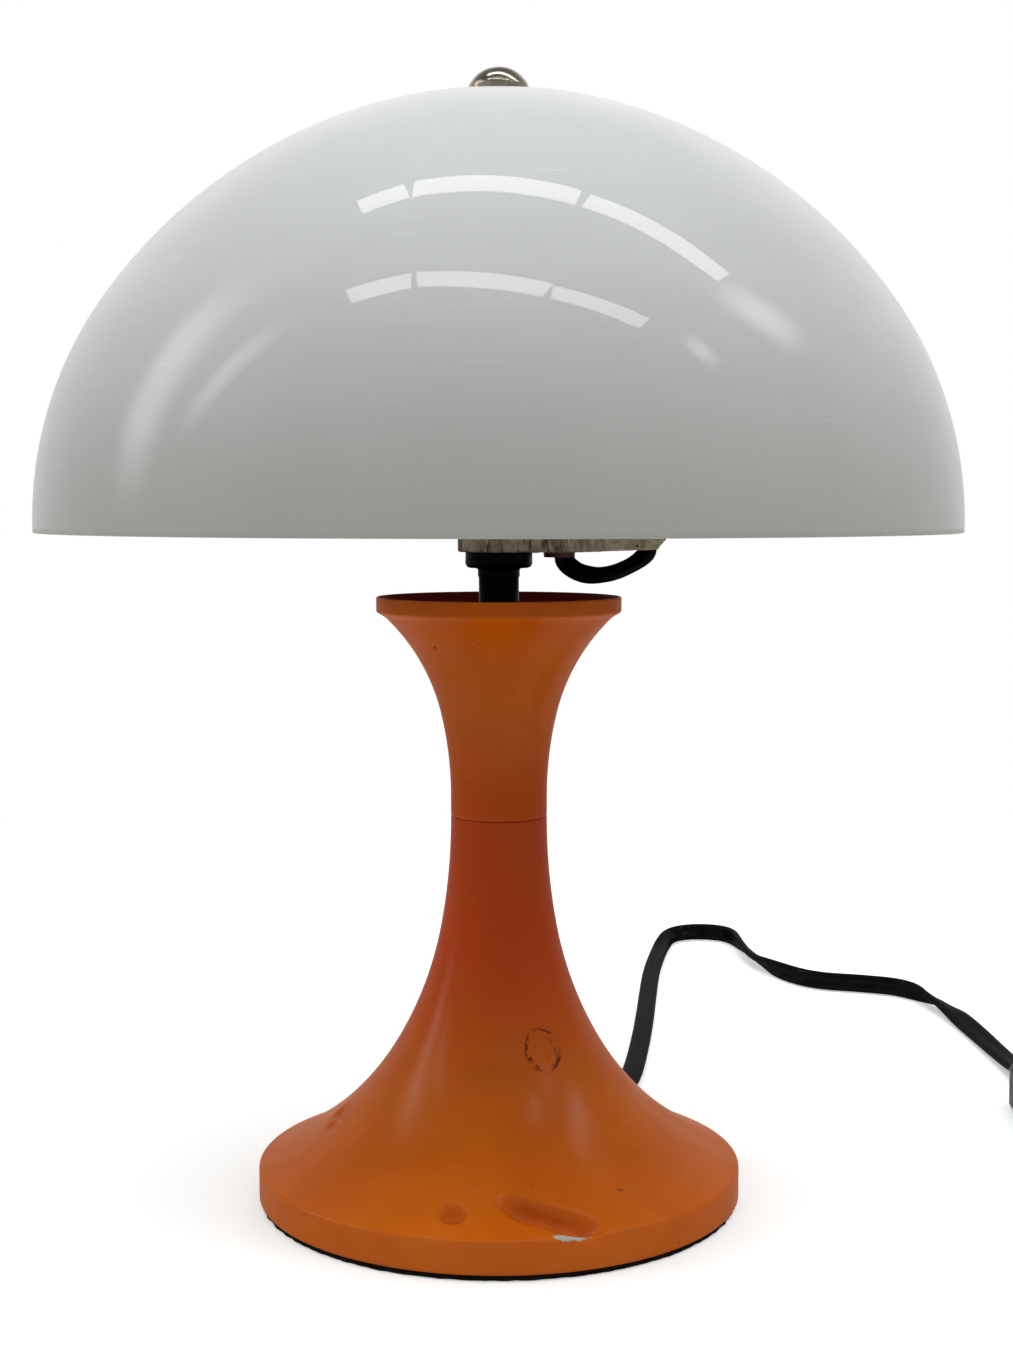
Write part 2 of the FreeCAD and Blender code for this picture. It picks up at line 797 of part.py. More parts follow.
# ---------------------------------------------------------------------------
# Arm and lampholder
# ---------------------------------------------------------------------------
def make_arm():
    """Cast arm: a boss round the stem, a smaller boss at the end, a tapered underside and a bevel."""
    body = new_body("ArmCasting")
    sketch = body_sketch(body, "XY_Plane", "arm_z")
    lean = "((arm_boss_r - arm_end_r) / holder_x)"
    rise = f"sqrt(1 - {lean} * {lean})"
    draw(
        sketch,
        (f"arm_boss_r * {lean}", f"-arm_boss_r * {rise}"),
        ("line", f"holder_x + arm_end_r * {lean}", f"-arm_end_r * {rise}"),
        ("arc", f"holder_x + arm_end_r * {lean}", f"arm_end_r * {rise}"),
        ("line", f"arm_boss_r * {lean}", f"arm_boss_r * {rise}"),
        ("arc", f"arm_boss_r * {lean}", f"-arm_boss_r * {rise}"),
    )
    pad = body.newObject("PartDesign::Pad", "ArmPlate")
    pad.Profile = sketch
    pad.setExpression("Length", bind("arm_thick"))
    underside = body_sketch(body, "XZ_Plane")
    end = "holder_x + arm_end_r"
    draw(
        underside,
        ("arm_taper_x", "arm_z"),
        ("line", f"{end} - arm_bevel", "arm_z + arm_taper"),
        ("line", f"{end} + 1", "arm_z + arm_taper + arm_bevel + 1"),
        ("line", f"{end} + 1", "arm_z - 1"),
        ("line", "arm_taper_x", "arm_z - 1"),
        close=True,
    )
    pocket = body.newObject("PartDesign::Pocket", "ArmUnderside")
    pocket.Profile = underside
    pocket.Type = "ThroughAll"
    pocket.SideType = "Symmetric"
    tall = "arm_thick + 2"
    holes = [
        rod("ArmStemHole", BORE, tall, "0", "0", "arm_z - 1"),
        rod("ArmBushHole", "bush_bore_r + bush_wall + thread_gap", tall, "bush_x", "0", "arm_z - 1"),
        rod("ArmNippleHole", "nipple_r + thread_gap", tall, "holder_x", "0", "arm_z - 1"),
    ]
    keep("bracket_arm", cut("Arm", body, fuse("ArmHoles", holes)))
    top = "arm_z + arm_thick"
    keep("arm_washer", ring("ArmWasher", BORE, "arm_washer_r", top, f"{top} + arm_washer_thick"))
    keep("arm_nut", hex_nut("ArmNut", "nut_flats", "nut_thick", BORE, "0", f"{top} + arm_washer_thick"))


def make_bush():
    """Bush that takes the cord down through the arm, with a flange below."""
    sleeve_r = "bush_bore_r + bush_wall"
    bush = turned(
        "Bush",
        ("bush_bore_r", "arm_z - bush_flange"),
        ("line", "bush_flange_r", "arm_z - bush_flange"),
        ("line", "bush_flange_r", "arm_z"),
        ("line", sleeve_r, "arm_z"),
        ("line", sleeve_r, "arm_z + arm_thick + bush_proud"),
        ("line", "bush_bore_r", "arm_z + arm_thick + bush_proud"),
    )
    bush.setExpression(".Placement.Base.x", bind("bush_x"))
    keep("arm_bush", bush)


def on_holder(name, body):
    """Move a turned piece from the stem's axis to the lampholder's."""
    body.setExpression(".Placement.Base.x", bind("holder_x"))
    return keep(name, body)


def make_holder():
    """Lampholder: nipple, nut, cap, insulating body, thread shell, centre contact and terminals."""
    top = "arm_z + arm_thick"
    floor = f"{top} + holder_floor"
    bore = "nipple_r + thread_gap"
    on_holder(
        "holder_nipple",
        ring("Nipple", "tube_bore_r", "nipple_r", "arm_z + arm_taper", "arm_z + arm_taper + nipple_long"),
    )
    keep("holder_nut", hex_nut("HolderNut", "holder_nut_flats", "holder_nut_thick", bore, "holder_x", floor))
    cup_r = "holder_cap_r - holder_wall"
    on_holder(
        "holder_cap",
        turned(
            "HolderCap",
            (bore, top),
            ("line", "holder_cap_r - 2", top),
            ("arc", "holder_cap_r", f"{top} + 2"),
            ("line", "holder_cap_r", f"{top} + holder_cap_tall"),
            ("line", cup_r, f"{top} + holder_cap_tall"),
            ("line", cup_r, floor),
            ("line", bore, floor),
        ),
    )
    seat = "holder_base_z + holder_base"
    rim = "holder_base_z + holder_tall"
    outer = f"{cup_r} - thread_gap"
    inner = "shell_bore_r + shell_wall + thread_gap"
    on_holder(
        "holder_body",
        turned(
            "HolderBody",
            ("0", "holder_base_z"),
            ("line", outer, "holder_base_z"),
            ("line", outer, f"{rim} - 1.5"),
            ("line", f"{outer} - 1.5", rim),
            ("line", inner, rim),
            ("line", inner, seat),
            ("line", "0", seat),
        ),
    )
    on_holder(
        "holder_shell",
        ring("HolderShell", "shell_bore_r", "shell_bore_r + shell_wall", seat, f"{seat} + shell_tall"),
    )
    on_holder(
        "holder_contact",
        turned(
            "Contact",
            ("0", seat),
            ("line", "contact_r", seat),
            ("line", "contact_r", f"{seat} + 0.6"),
            ("line", "contact_r - 1", f"{seat} + 0.6"),
            ("line", "contact_r - 1", f"{seat} + contact_tall"),
            ("line", "0", f"{seat} + contact_tall"),
        ),
    )
    blocks = [
        block(
            f"Terminal{side}",
            "holder_x - terminal_wide / 2",
            y,
            "holder_base_z - terminal_tall",
            "terminal_wide",
            "terminal_deep",
            "terminal_tall",
        )
        for side, y in (("Rear", "terminal_y"), ("Front", "-terminal_y - terminal_deep"))
    ]
    keep("holder_terminals", several("Terminals", blocks))


def make_bulb():
    """Small round bulb: contact tip, screw cap and glass."""
    tip = "holder_base_z + holder_base + contact_tall + bulb_tip_gap"
    cap = f"{tip} + bulb_tip_tall"
    neck = f"{cap} + bulb_cap_tall"
    cap_r = "shell_bore_r - bulb_run_gap"
    on_holder("bulb_tip", ring("BulbTip", "0", "bulb_tip_r", tip, cap))
    on_holder(
        "bulb_cap",
        turned(
            "BulbCap",
            ("0", cap),
            ("line", f"{cap_r} - 2", cap),
            ("line", cap_r, f"{cap} + 2"),
            ("line", cap_r, neck),
            ("line", "0", neck),
        ),
    )
    tall = f"(bulb_tall_least + (shade_top_z - ({neck})) * bulb_tall_share)"
    bulb_r = f"{tall} * bulb_round_share"
    top = f"{neck} + {tall}"
    glass = spun(
        "BulbGlass",
        "-glass_wall",
        ("0", top),
        ("arc", bulb_r, f"{top} - {bulb_r}"),
        ("arc", f"{bulb_r} * cos(bulb_shoulder)", f"{top} - {bulb_r} * (1 + sin(bulb_shoulder))"),
        ("arc", "bulb_neck_r", f"{neck} + 2"),
        ("line", "bulb_neck_r", neck),
        heading=Vector(1, 0, 0),
    )
    on_holder("bulb_glass", glass)


# ---------------------------------------------------------------------------
# Shade and finial
# ---------------------------------------------------------------------------
def make_shade():
    """Opal dome: a nearly flat crown that turns down into upright sides, with a hole for the stem."""
    tall = "(shade_top_z - shade_rim_z)"
    dome = spun(
        "Dome",
        "-shade_wall",
        ("tube_r + shade_hole_gap", "shade_top_z"),
        ("line", "shade_land_r", "shade_top_z"),
        ("arc", "shade_high_r", f"shade_rim_z + shade_high_share * {tall}"),
        ("arc", "shade_low_r", f"shade_rim_z + shade_low_share * {tall}"),
        ("arc", "shade_r", "shade_rim_z"),
    )
    keep("shade_dome", dome)
    seat = "shade_top_z - shade_wall"
    keep("seat_washer", ring("SeatWasher", BORE, "shade_land_r", f"{seat} - washer_thick", seat))
    nut_z = f"{seat} - washer_thick - nut_thick"
    keep("seat_nut", hex_nut("SeatNut", "nut_flats", "nut_thick", BORE, "0", nut_z))


def make_finial():
    """Rounded cap nut on a thin washer."""
    seat = "shade_top_z + finial_washer_thick"
    bore = "tube_r + thread_gap"
    keep(
        "finial_washer",
        ring("FinialWasher", "tube_r + shade_hole_gap", "finial_washer_r", "shade_top_z", seat),
    )
    keep(
        "finial_nut",
        turned(
            "Finial",
            ("0", f"{seat} + finial_tall"),
            ("arc", "finial_r", f"{seat} + finial_skirt"),
            ("line", "finial_r", seat),
            ("line", bore, seat),
            ("line", bore, f"{seat} + finial_bore"),
            ("line", "0", f"{seat} + finial_bore"),
            heading=Vector(1, 0, 0),
        ),
    )


# ---------------------------------------------------------------------------
# Cords inside the lamp
# ---------------------------------------------------------------------------
def make_inner_cords():
    """Cord from the foot's bush into the stem, up the stem, and over the arm to the lampholder."""
    exit_z = number("cord_exit_z")
    outside = number("foot_r + thread_gap + grommet_lip_thick")
    way = [(outside, 0, exit_z), (0, 0, exit_z), (0, 0, FOOT_CORD_TOP)]
    across = Vector(0, 1, 0)
    foot_cord = flat_cord("CordInFoot", way, across, UP, across, number("cord_bend"))
    keep("cord_in_foot", face_exit(foot_cord))

    sections = []
    steps = 4
    for step in range(steps + 1):
        share = step / steps
        height = FOOT_CORD_TOP + (HOLDER_WAY[0][2] - FOOT_CORD_TOP) * share
        turn = Rotation(UP, number("cord_azimuth") * (1 - share))
        thin = turn.multVec(Vector(1, 0, 0))
        sections.append(cord_section(Vector(0, 0, height), turn.multVec(across), thin))
    stem_cord = document.addObject("Part::Feature", "CordInStem")
    stem_cord.Shape = Part.makeLoft(sections, True, False)
    keep("cord_in_stem", stem_cord)
    keep("holder_cord", flat_cord("HolderCord", HOLDER_WAY, across, Vector(1, 0, 0), across))


# ---------------------------------------------------------------------------
# Mains cord, inline switch, coil and plug
# ---------------------------------------------------------------------------
def make_mains_cord():
    """Cord over the table to the switch, on to the coil of unused length, and to the plug."""
    keep("lamp_lead", lying_cord("LampLead", LAMP_WAY))
    keep("coil_lead", lying_cord("CoilLead", COIL_WAY))
    keep("plug_lead", lying_cord("PlugLead", PLUG_WAY))
    inner = "coil_r - coil_wide / 2"
    outer = "coil_r + coil_wide / 2"
    top = "coil_bottom_z + coil_tall"
    coil = turned(
        "Coil",
        (f"{inner} + coil_round", "coil_bottom_z"),
        ("line", f"{outer} - coil_round", "coil_bottom_z"),
        ("arc", outer, "coil_bottom_z + coil_round"),
        ("line", outer, f"{top} - coil_round"),
        ("arc", f"{outer} - coil_round", top),
        ("line", f"{inner} + coil_round", top),
        ("arc", inner, f"{top} - coil_round"),
        ("line", inner, "coil_bottom_z + coil_round"),
        ("arc", f"{inner} + coil_round", "coil_bottom_z"),
    )
    keep("cord_coil", set_down(coil, "coil_x", "coil_y", "0", "0"))


def on_switch(name, item):
    """Put a piece of the switch in its place on the cord."""
    return keep(name, set_down(item, "switch_x", "switch_y", "0", "switch_heading"))


def switch_half(name, bottom, top, edge_z):
    """One moulded half of the switch."""
    sizes = ("switch_long", "switch_wide", "switch_corner")
    return rounded_pad(name, *sizes, bottom, top, "switch_edge", edge_z)


def make_rocker():
    """Rocker: a slice of a cylinder with a dipped top, tilted to its off side, on two pivot stubs."""
    across = Vector(0, 1, 0)
    body = new_body("RockerProfile")
    sketch = body_sketch(body, "XZ_Plane")
    draw(
        sketch,
        ("-rocker_r", "rocker_high"),
        ("line", "0", "rocker_high - rocker_dip"),
        ("line", "rocker_r", "rocker_high"),
        ("line", "rocker_r", "0"),
        ("line", "rocker_low_half", "-rocker_low"),
        ("line", "-rocker_low_half", "-rocker_low"),
        ("line", "-rocker_r", "0"),
        close=True,
    )
    pad = body.newObject("PartDesign::Pad", "RockerPad")
    pad.Profile = sketch
    pad.SideType = "Symmetric"
    pad.setExpression("Length", bind("rocker_wide"))
    drum = rod("RockerDrum", "rocker_r", "rocker_wide", "0", "-rocker_wide / 2", "0", along=across)
    key = document.addObject("Part::Common", "RockerKey")
    key.Base = body
    key.Tool = drum
    pivot_half = "rocker_wide / 2 + pivot_long"
    pivot = rod("RockerPivot", "pivot_r", f"2 * ({pivot_half})", "0", f"-({pivot_half})", "0", along=across)
    rocker = fuse("RockerUpright", [key, pivot])
    rocker.Placement = Placement(Vector(), Rotation(across, 1))
    rocker.setExpression(".Placement.Rotation.Angle", bind("rocker_tilt"))
    keep("switch_rocker", set_down(several("Rocker", [rocker]), "switch_x", "switch_y", "pivot_z", "switch_heading"))


def make_switch():
    """Inline switch: two moulded halves, two screws from below and the rocker."""
    across = Vector(0, 1, 0)
    gap = "thread_gap"
    seat = "switch_bottom_z + 0.3"
    screws = []
    holes = []
    for side, x in (("Near", "-switch_screw_x"), ("Far", "switch_screw_x")):
        shank = rod(f"Shank{side}", "switch_screw_r", "switch_screw_long", x, "0", seat)
        head = rod(f"Head{side}", "switch_head_r", "switch_head", x, "0", seat)
        screws.append(fuse(f"SwitchScrew{side}", [shank, head]))
        holes.append(rod(f"ShankHole{side}", f"switch_screw_r + {gap}", f"switch_screw_long + {gap}", x, "0", seat))
        holes.append(rod(f"HeadHole{side}", f"switch_head_r + {gap}", f"switch_head + {gap} + 1", x, "0", f"{seat} - 1"))
    screw_holes = fuse("SwitchScrewHoles", holes)
    lower = switch_half("SwitchLower", "switch_bottom_z", "switch_split_z", "switch_bottom_z")
    on_switch("switch_base", cut("SwitchBase", lower, screw_holes))
    well_half = "rocker_wide / 2 + rocker_gap"
    well = rod("RockerWell", "rocker_r + rocker_gap", f"2 * ({well_half})", "0", f"-({well_half})", "pivot_z", across)
    hole_half = f"rocker_wide / 2 + pivot_long + {gap}"
    bearing = rod("PivotHole", f"pivot_r + {gap}", f"2 * ({hole_half})", "0", f"-({hole_half})", "pivot_z", across)
    upper = switch_half("SwitchUpper", "switch_split_z", "switch_top_z", "switch_top_z")
    on_switch("switch_cover", cut("SwitchCover", upper, fuse("SwitchCoverCuts", [screw_holes, well, bearing])))
    on_switch("switch_screws", several("SwitchScrews", screws))
    make_rocker()


def make_plug():
    """Flat two-pin plug with a tapered relief where the cord goes in."""
    forward = Vector(1, 0, 0)
    face = "relief_long + plug_long"
    body = new_body("PlugShell")
    sketch = body_sketch(body, "XY_Plane", "-plug_thick / 2")
    draw(
        sketch,
        ("relief_long", "-plug_rear_wide / 2"),
        ("line", f"{face} - plug_face_long", "-plug_wide / 2"),
        ("line", face, "-plug_wide / 2"),
        ("line", face, "plug_wide / 2"),
        ("line", f"{face} - plug_face_long", "plug_wide / 2"),
        ("line", "relief_long", "plug_rear_wide / 2"),
        close=True,
    )
    pad = body.newObject("PartDesign::Pad", "PlugPad")
    pad.Profile = sketch
    pad.setExpression("Length", bind("plug_thick"))
    document.recompute()
    under = soften(body, pad, "-plug_thick / 2", "plug_edge")
    soften(body, under, "plug_thick / 2", "plug_edge")
    relief = document.addObject("Part::Cone", "PlugRelief")
    relief.Placement = Placement(Vector(), Rotation(UP, forward))
    relief.setExpression("Radius1", bind("relief_rear_r"))
    relief.setExpression("Radius2", bind("relief_front_r"))
    relief.setExpression("Height", bind("relief_long + 1"))
    pins = []
    sockets = []
    for side, y in (("Left", "pin_spacing / 2"), ("Right", "-pin_spacing / 2")):
        start = f"{face} - pin_sunk"
        pins.append(rod(f"Pin{side}", "pin_r", "pin_long + pin_sunk", start, y, "0", forward))
        sockets.append(rod(f"Socket{side}", "pin_r + thread_gap", "pin_sunk + 1", start, y, "0", forward))
    shell = cut("PlugBody", fuse("PlugMoulding", [body, relief]), fuse("PlugSockets", sockets))
    place = ("plug_x", "plug_y", "plug_z", "plug_heading")
    keep("plug_body", set_down(shell, *place))
    keep("plug_pins", set_down(several("PlugPins", pins), *place))


# ---------------------------------------------------------------------------
# Build, check and write
# ---------------------------------------------------------------------------
def build():
    """Make every piece."""
    make_felt()
    make_trumpet()
    make_ballast()
    make_base_nut()
    make_grommet()
    make_clamp()
    make_stem()
    make_bell()
    make_collar()
    make_arm()
    make_bush()
    make_holder()
    make_bulb()
    make_shade()
    make_finial()
    make_inner_cords()
    make_mains_cord()
    make_switch()
    make_plug()
    document.recompute()


def write():
    """Check every object and write each piece to its own file."""
    for item in document.Objects:
        if "Invalid" in item.State or "Error" in item.State:
            raise RuntimeError(f"{item.Name} failed: {item.State}")
    os.makedirs("parts", exist_ok=True)
    for name, item in parts.items():
        if item.Shape.isNull() or not item.Shape.isValid() or item.Shape.Volume <= 0:
            raise RuntimeError(f"{name} has no sound solid")
        item.Shape.exportStep(f"parts/{name}.step")
        print(f"{name}: {len(item.Shape.Solids)} solid, {item.Shape.Volume:.1f} mm3")


build()
write()
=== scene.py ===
import json
import logging
import math
from dataclasses import dataclass, field
from enum import Enum
from typing import Callable, ClassVar, Optional, Sequence, Union

import bmesh
import bpy
import numpy as np
from mathutils import Matrix, Quaternion, Vector, noise


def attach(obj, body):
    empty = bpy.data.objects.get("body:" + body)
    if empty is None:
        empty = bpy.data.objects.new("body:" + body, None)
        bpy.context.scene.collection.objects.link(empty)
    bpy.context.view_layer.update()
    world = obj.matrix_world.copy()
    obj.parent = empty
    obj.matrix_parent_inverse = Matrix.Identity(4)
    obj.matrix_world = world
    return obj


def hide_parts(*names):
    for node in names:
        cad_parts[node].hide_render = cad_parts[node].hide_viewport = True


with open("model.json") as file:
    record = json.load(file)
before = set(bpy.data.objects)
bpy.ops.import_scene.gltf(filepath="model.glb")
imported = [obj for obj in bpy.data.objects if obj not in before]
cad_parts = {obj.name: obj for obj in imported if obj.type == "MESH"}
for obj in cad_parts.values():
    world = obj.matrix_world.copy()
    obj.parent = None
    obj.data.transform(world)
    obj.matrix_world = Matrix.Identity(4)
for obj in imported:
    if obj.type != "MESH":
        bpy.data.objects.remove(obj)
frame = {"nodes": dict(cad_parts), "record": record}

logging.basicConfig(level=logging.INFO, format="%(message)s")
log = logging.getLogger("lamp")

MM = 0.001
ON_AXIS = 1e-6
WHITE = (1.0, 1.0, 1.0)
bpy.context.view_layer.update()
Pair = tuple[float, float]
Triple = tuple[float, float, float]
Colour = tuple[float, float, float]
Socket = bpy.types.NodeSocket
Sockets = bpy.types.bpy_prop_collection
Feed = Union[float, Triple, Socket]
Surface = tuple[Socket, Socket, Socket]
Shaping = Callable[[np.ndarray, np.ndarray, np.ndarray], tuple[np.ndarray, np.ndarray]]
ByShare = Callable[[float], float]


class Body(Enum):
    """The bodies of the frame that pieces ride on."""

    STAND = "stand"
    SHADE = "shade"
    FINIAL = "finial"
    BULB = "bulb"


# ---------------------------------------------------------------------------
# Outlines and meshes
# ---------------------------------------------------------------------------
@dataclass(frozen=True)
class Outline:
    """A chain of lines and tangent arcs of radius and height, in millimetres."""

    start: Pair
    steps: tuple[tuple[str, float, float], ...]
    heading: Pair = (1.0, 0.0)
    spacing: float = 1.0

    def points(self) -> np.ndarray:
        """Sample the chain.

        Returns:
            Rows of radius and height, with a row at every joint of the chain.
        """
        rows = [np.array(self.start, float)]
        heading = np.array(self.heading, float)
        for kind, radius, height in self.steps:
            here, there = rows[-1], np.array((radius, height), float)
            chord = there - here
            if kind == "line":
                heading = chord / np.linalg.norm(chord)
                count = max(1, round(float(np.linalg.norm(chord)) / self.spacing))
                rows.extend(here + chord * step / count for step in range(1, count + 1))
                continue
            normal = np.array((-heading[1], heading[0]))
            bend = float(chord @ chord) / (2 * float(chord @ normal))
            centre = here + normal * bend
            begin = math.atan2(*(here - centre)[::-1])
            turn = (math.atan2(*(there - centre)[::-1]) - begin) % (2 * math.pi)
            if bend < 0:
                turn -= 2 * math.pi
            count = max(4, math.ceil(abs(turn * bend) / self.spacing))
            for step in range(1, count + 1):
                angle = begin + turn * step / count
                rows.append(centre + abs(bend) * np.array((math.cos(angle), math.sin(angle))))
            heading = np.array((-math.sin(begin + turn), math.cos(begin + turn))) * math.copysign(1, bend)
        return np.array(rows)


def run_lengths(rows: np.ndarray) -> np.ndarray:
    """Measure how far along an outline each of its rows is."""
    return np.concatenate(([0], np.cumsum(np.linalg.norm(np.diff(rows, axis=0), axis=1))))


def headings(rows: np.ndarray) -> np.ndarray:
    """Give the way that an outline runs at each of its rows."""
    runs = np.gradient(rows, axis=0)
    return runs / np.linalg.norm(runs, axis=1)[:, None]


def thinned(rows: np.ndarray, every: int) -> np.ndarray:
    """Thin an outline out.

    Args:
        rows: Radius and height, in order.
        every: Which rows stay: each second, third and so on.

    Returns:
        The rows that stay, with the last one of the outline.
    """
    kept = rows[::every]
    return kept if (len(rows) - 1) % every == 0 else np.vstack((kept, rows[-1:]))


def offset_rows(rows: np.ndarray, distance: float) -> np.ndarray:
    """Move an open outline sideways.

    Args:
        rows: Radius and height, in order.
        distance: Millimetres to the left of the way that the outline runs.

    Returns:
        The moved outline, with mitred corners.
    """
    runs = np.diff(rows, axis=0)
    runs /= np.linalg.norm(runs, axis=1)[:, None]
    left = np.column_stack((-runs[:, 1], runs[:, 0]))
    before = np.vstack((left[:1], left))
    after = np.vstack((left, left[-1:]))
    middle = before + after
    middle /= np.linalg.norm(middle, axis=1)[:, None]
    reach = distance / np.clip(np.sum(middle * after, axis=1), 0.5, 1)
    return rows + middle * reach[:, None]


def eased(rows: np.ndarray, corner: Pair, reach: float, steps: int = 6) -> np.ndarray:
    """Round the corner of an open outline.

    Args:
        rows: Radius and height, in order.
        corner: The corner's place.
        reach: How far to each side the rounding goes.
        steps: How many rows the rounding has.

    Returns:
        The outline with the corner rounded.
    """
    clear = 0.01
    corner_row = np.array(corner, float)
    lengths = run_lengths(rows)
    index = int(np.argmin(np.linalg.norm(rows - corner_row, axis=1)))
    low, high = lengths[index] - reach, lengths[index] + reach
    first = np.array([np.interp(low, lengths, rows[:, axis]) for axis in (0, 1)])
    last = np.array([np.interp(high, lengths, rows[:, axis]) for axis in (0, 1)])
    share = np.linspace(0, 1, steps + 1)[:, None]
    bend = first * (1 - share) ** 2 + 2 * corner_row * share * (1 - share) + last * share**2
    return np.vstack((rows[lengths < low - clear], bend, rows[lengths > high + clear]))


def added(name: str, data: bpy.types.ID) -> bpy.types.Object:
    """Make an object from its data, and link it to the scene.

    Args:
        name: Name of the object.
        data: Its mesh, curve, camera or light.

    Returns:
        The object, at the origin.
    """
    item = bpy.data.objects.new(name, data)
    bpy.context.scene.collection.objects.link(item)
    return item


def smoothed(mesh: bpy.types.Mesh, sharp: float) -> None:
    """Shade a mesh smooth, apart from edges past an angle in degrees."""
    mesh.shade_smooth()
    mesh.set_sharp_from_angle(angle=math.radians(sharp))


def new_piece(name: str, places: np.ndarray, faces: Sequence[Sequence[int]], sharp: float = 40.0) -> bpy.types.Object:
    """Make a mesh object, with its faces turned outwards.

    Args:
        name: Name of the piece.
        places: Points in millimetres.
        faces: Point numbers of each face.
        sharp: Angle in degrees past which an edge stays sharp.

    Returns:
        The new object, at the origin.
    """
    mesh = bpy.data.meshes.new(name)
    mesh.from_pydata((np.asarray(places) * MM).tolist(), [], faces)
    form = bmesh.new()
    form.from_mesh(mesh)
    bmesh.ops.remove_doubles(form, verts=form.verts, dist=1e-7)
    bmesh.ops.recalc_face_normals(form, faces=form.faces)
    form.to_mesh(mesh)
    form.free()
    smoothed(mesh, sharp)
    return added(name, mesh)


def lathe(
    name: str,
    rows: np.ndarray,
    segments: int,
    centre: Pair = (0.0, 0.0),
    shape: Optional[Shaping] = None,
    sharp: float = 40.0,
) -> bpy.types.Object:
    """Revolve an outline about an upright axis.

    Args:
        name: Name of the piece.
        rows: Radius and height. The outline is closed, or starts and ends on the axis.
        segments: How many steps the turn has.
        centre: Where the axis stands.
        shape: Function of azimuth, radius and height that gives how far each row moves inwards.
        sharp: Angle in degrees past which an edge stays sharp.

    Returns:
        The new object.
    """
    capped = rows[0, 0] < ON_AXIS and rows[-1, 0] < ON_AXIS
    angles = np.arange(segments) * 2 * math.pi / segments
    azimuth, radius = np.meshgrid(angles, rows[:, 0])
    height = np.repeat(rows[:, 1:], segments, axis=1)
    if shape is not None:
        radius, height = shape(azimuth, radius, height)
    grid = np.stack((centre[0] + radius * np.cos(azimuth), centre[1] + radius * np.sin(azimuth), height), axis=-1)
    count = len(rows)
    faces = []
    for row in range(count - 1 if capped else count):
        here, there = row * segments, ((row + 1) % count) * segments
        for step in range(segments):
            after = (step + 1) % segments
            faces.append((here + step, here + after, there + after, there + step))
    return new_piece(name, grid.reshape(-1, 3), faces, sharp)


def copied(node: str, name: str) -> bpy.types.Object:
    """Copy a node of the frame as a mesh of its own, with its loose triangles joined.

    Args:
        node: The node's name.
        name: Name of the new piece.

    Returns:
        The new object.
    """
    mesh = frame["nodes"][node].data.copy()
    mesh.name = name
    mesh.materials.clear()
    form = bmesh.new()
    form.from_mesh(mesh)
    bmesh.ops.remove_doubles(form, verts=form.verts, dist=1e-6)
    bmesh.ops.dissolve_limit(form, angle_limit=math.radians(0.5), verts=form.verts, edges=form.edges)
    form.to_mesh(mesh)
    form.free()
    return added(name, mesh)


def settled(piece: bpy.types.Object) -> bpy.types.Object:
    """Turn a piece's modifiers into plain mesh.

    Args:
        piece: The piece with live modifiers.

    Returns:
        The same object, with the result as its mesh.
    """
    graph = bpy.context.evaluated_depsgraph_get()
    mesh = bpy.data.meshes.new_from_object(piece.evaluated_get(graph))
    mesh.name = piece.name
    piece.modifiers.clear()
    piece.data = mesh
    return piece


def remeshed(piece: bpy.types.Object, voxel: float, rounds: int) -> bpy.types.Object:
    """Rebuild a piece as an even skin and soften its edges.

    Args:
        piece: The piece.
        voxel: Size of the skin's cells, in millimetres.
        rounds: How many times the skin is smoothed.

    Returns:
        The same object.
    """
    skin = piece.modifiers.new("Skin", "REMESH")
    skin.mode = "VOXEL"
    skin.voxel_size = voxel * MM
    smooth = piece.modifiers.new("Smooth", "SMOOTH")
    smooth.factor = 0.5
    smooth.iterations = rounds
    settled(piece)
    piece.data.shade_smooth()
    return piece


def stacked(name: str, pieces: Sequence[bpy.types.Object]) -> bpy.types.Object:
    """Join pieces into one mesh.

    Args:
        name: Name of the result.
        pieces: The pieces, which are removed.

    Returns:
        The joined object.
    """
    form = bmesh.new()
    for piece in pieces:
        form.from_mesh(piece.data)
    mesh = bpy.data.meshes.new(name)
    form.to_mesh(mesh)
    form.free()
    for material in pieces[0].data.materials:
        mesh.materials.append(material)
    for piece in pieces:
        bpy.data.objects.remove(piece)
    return added(name, mesh)


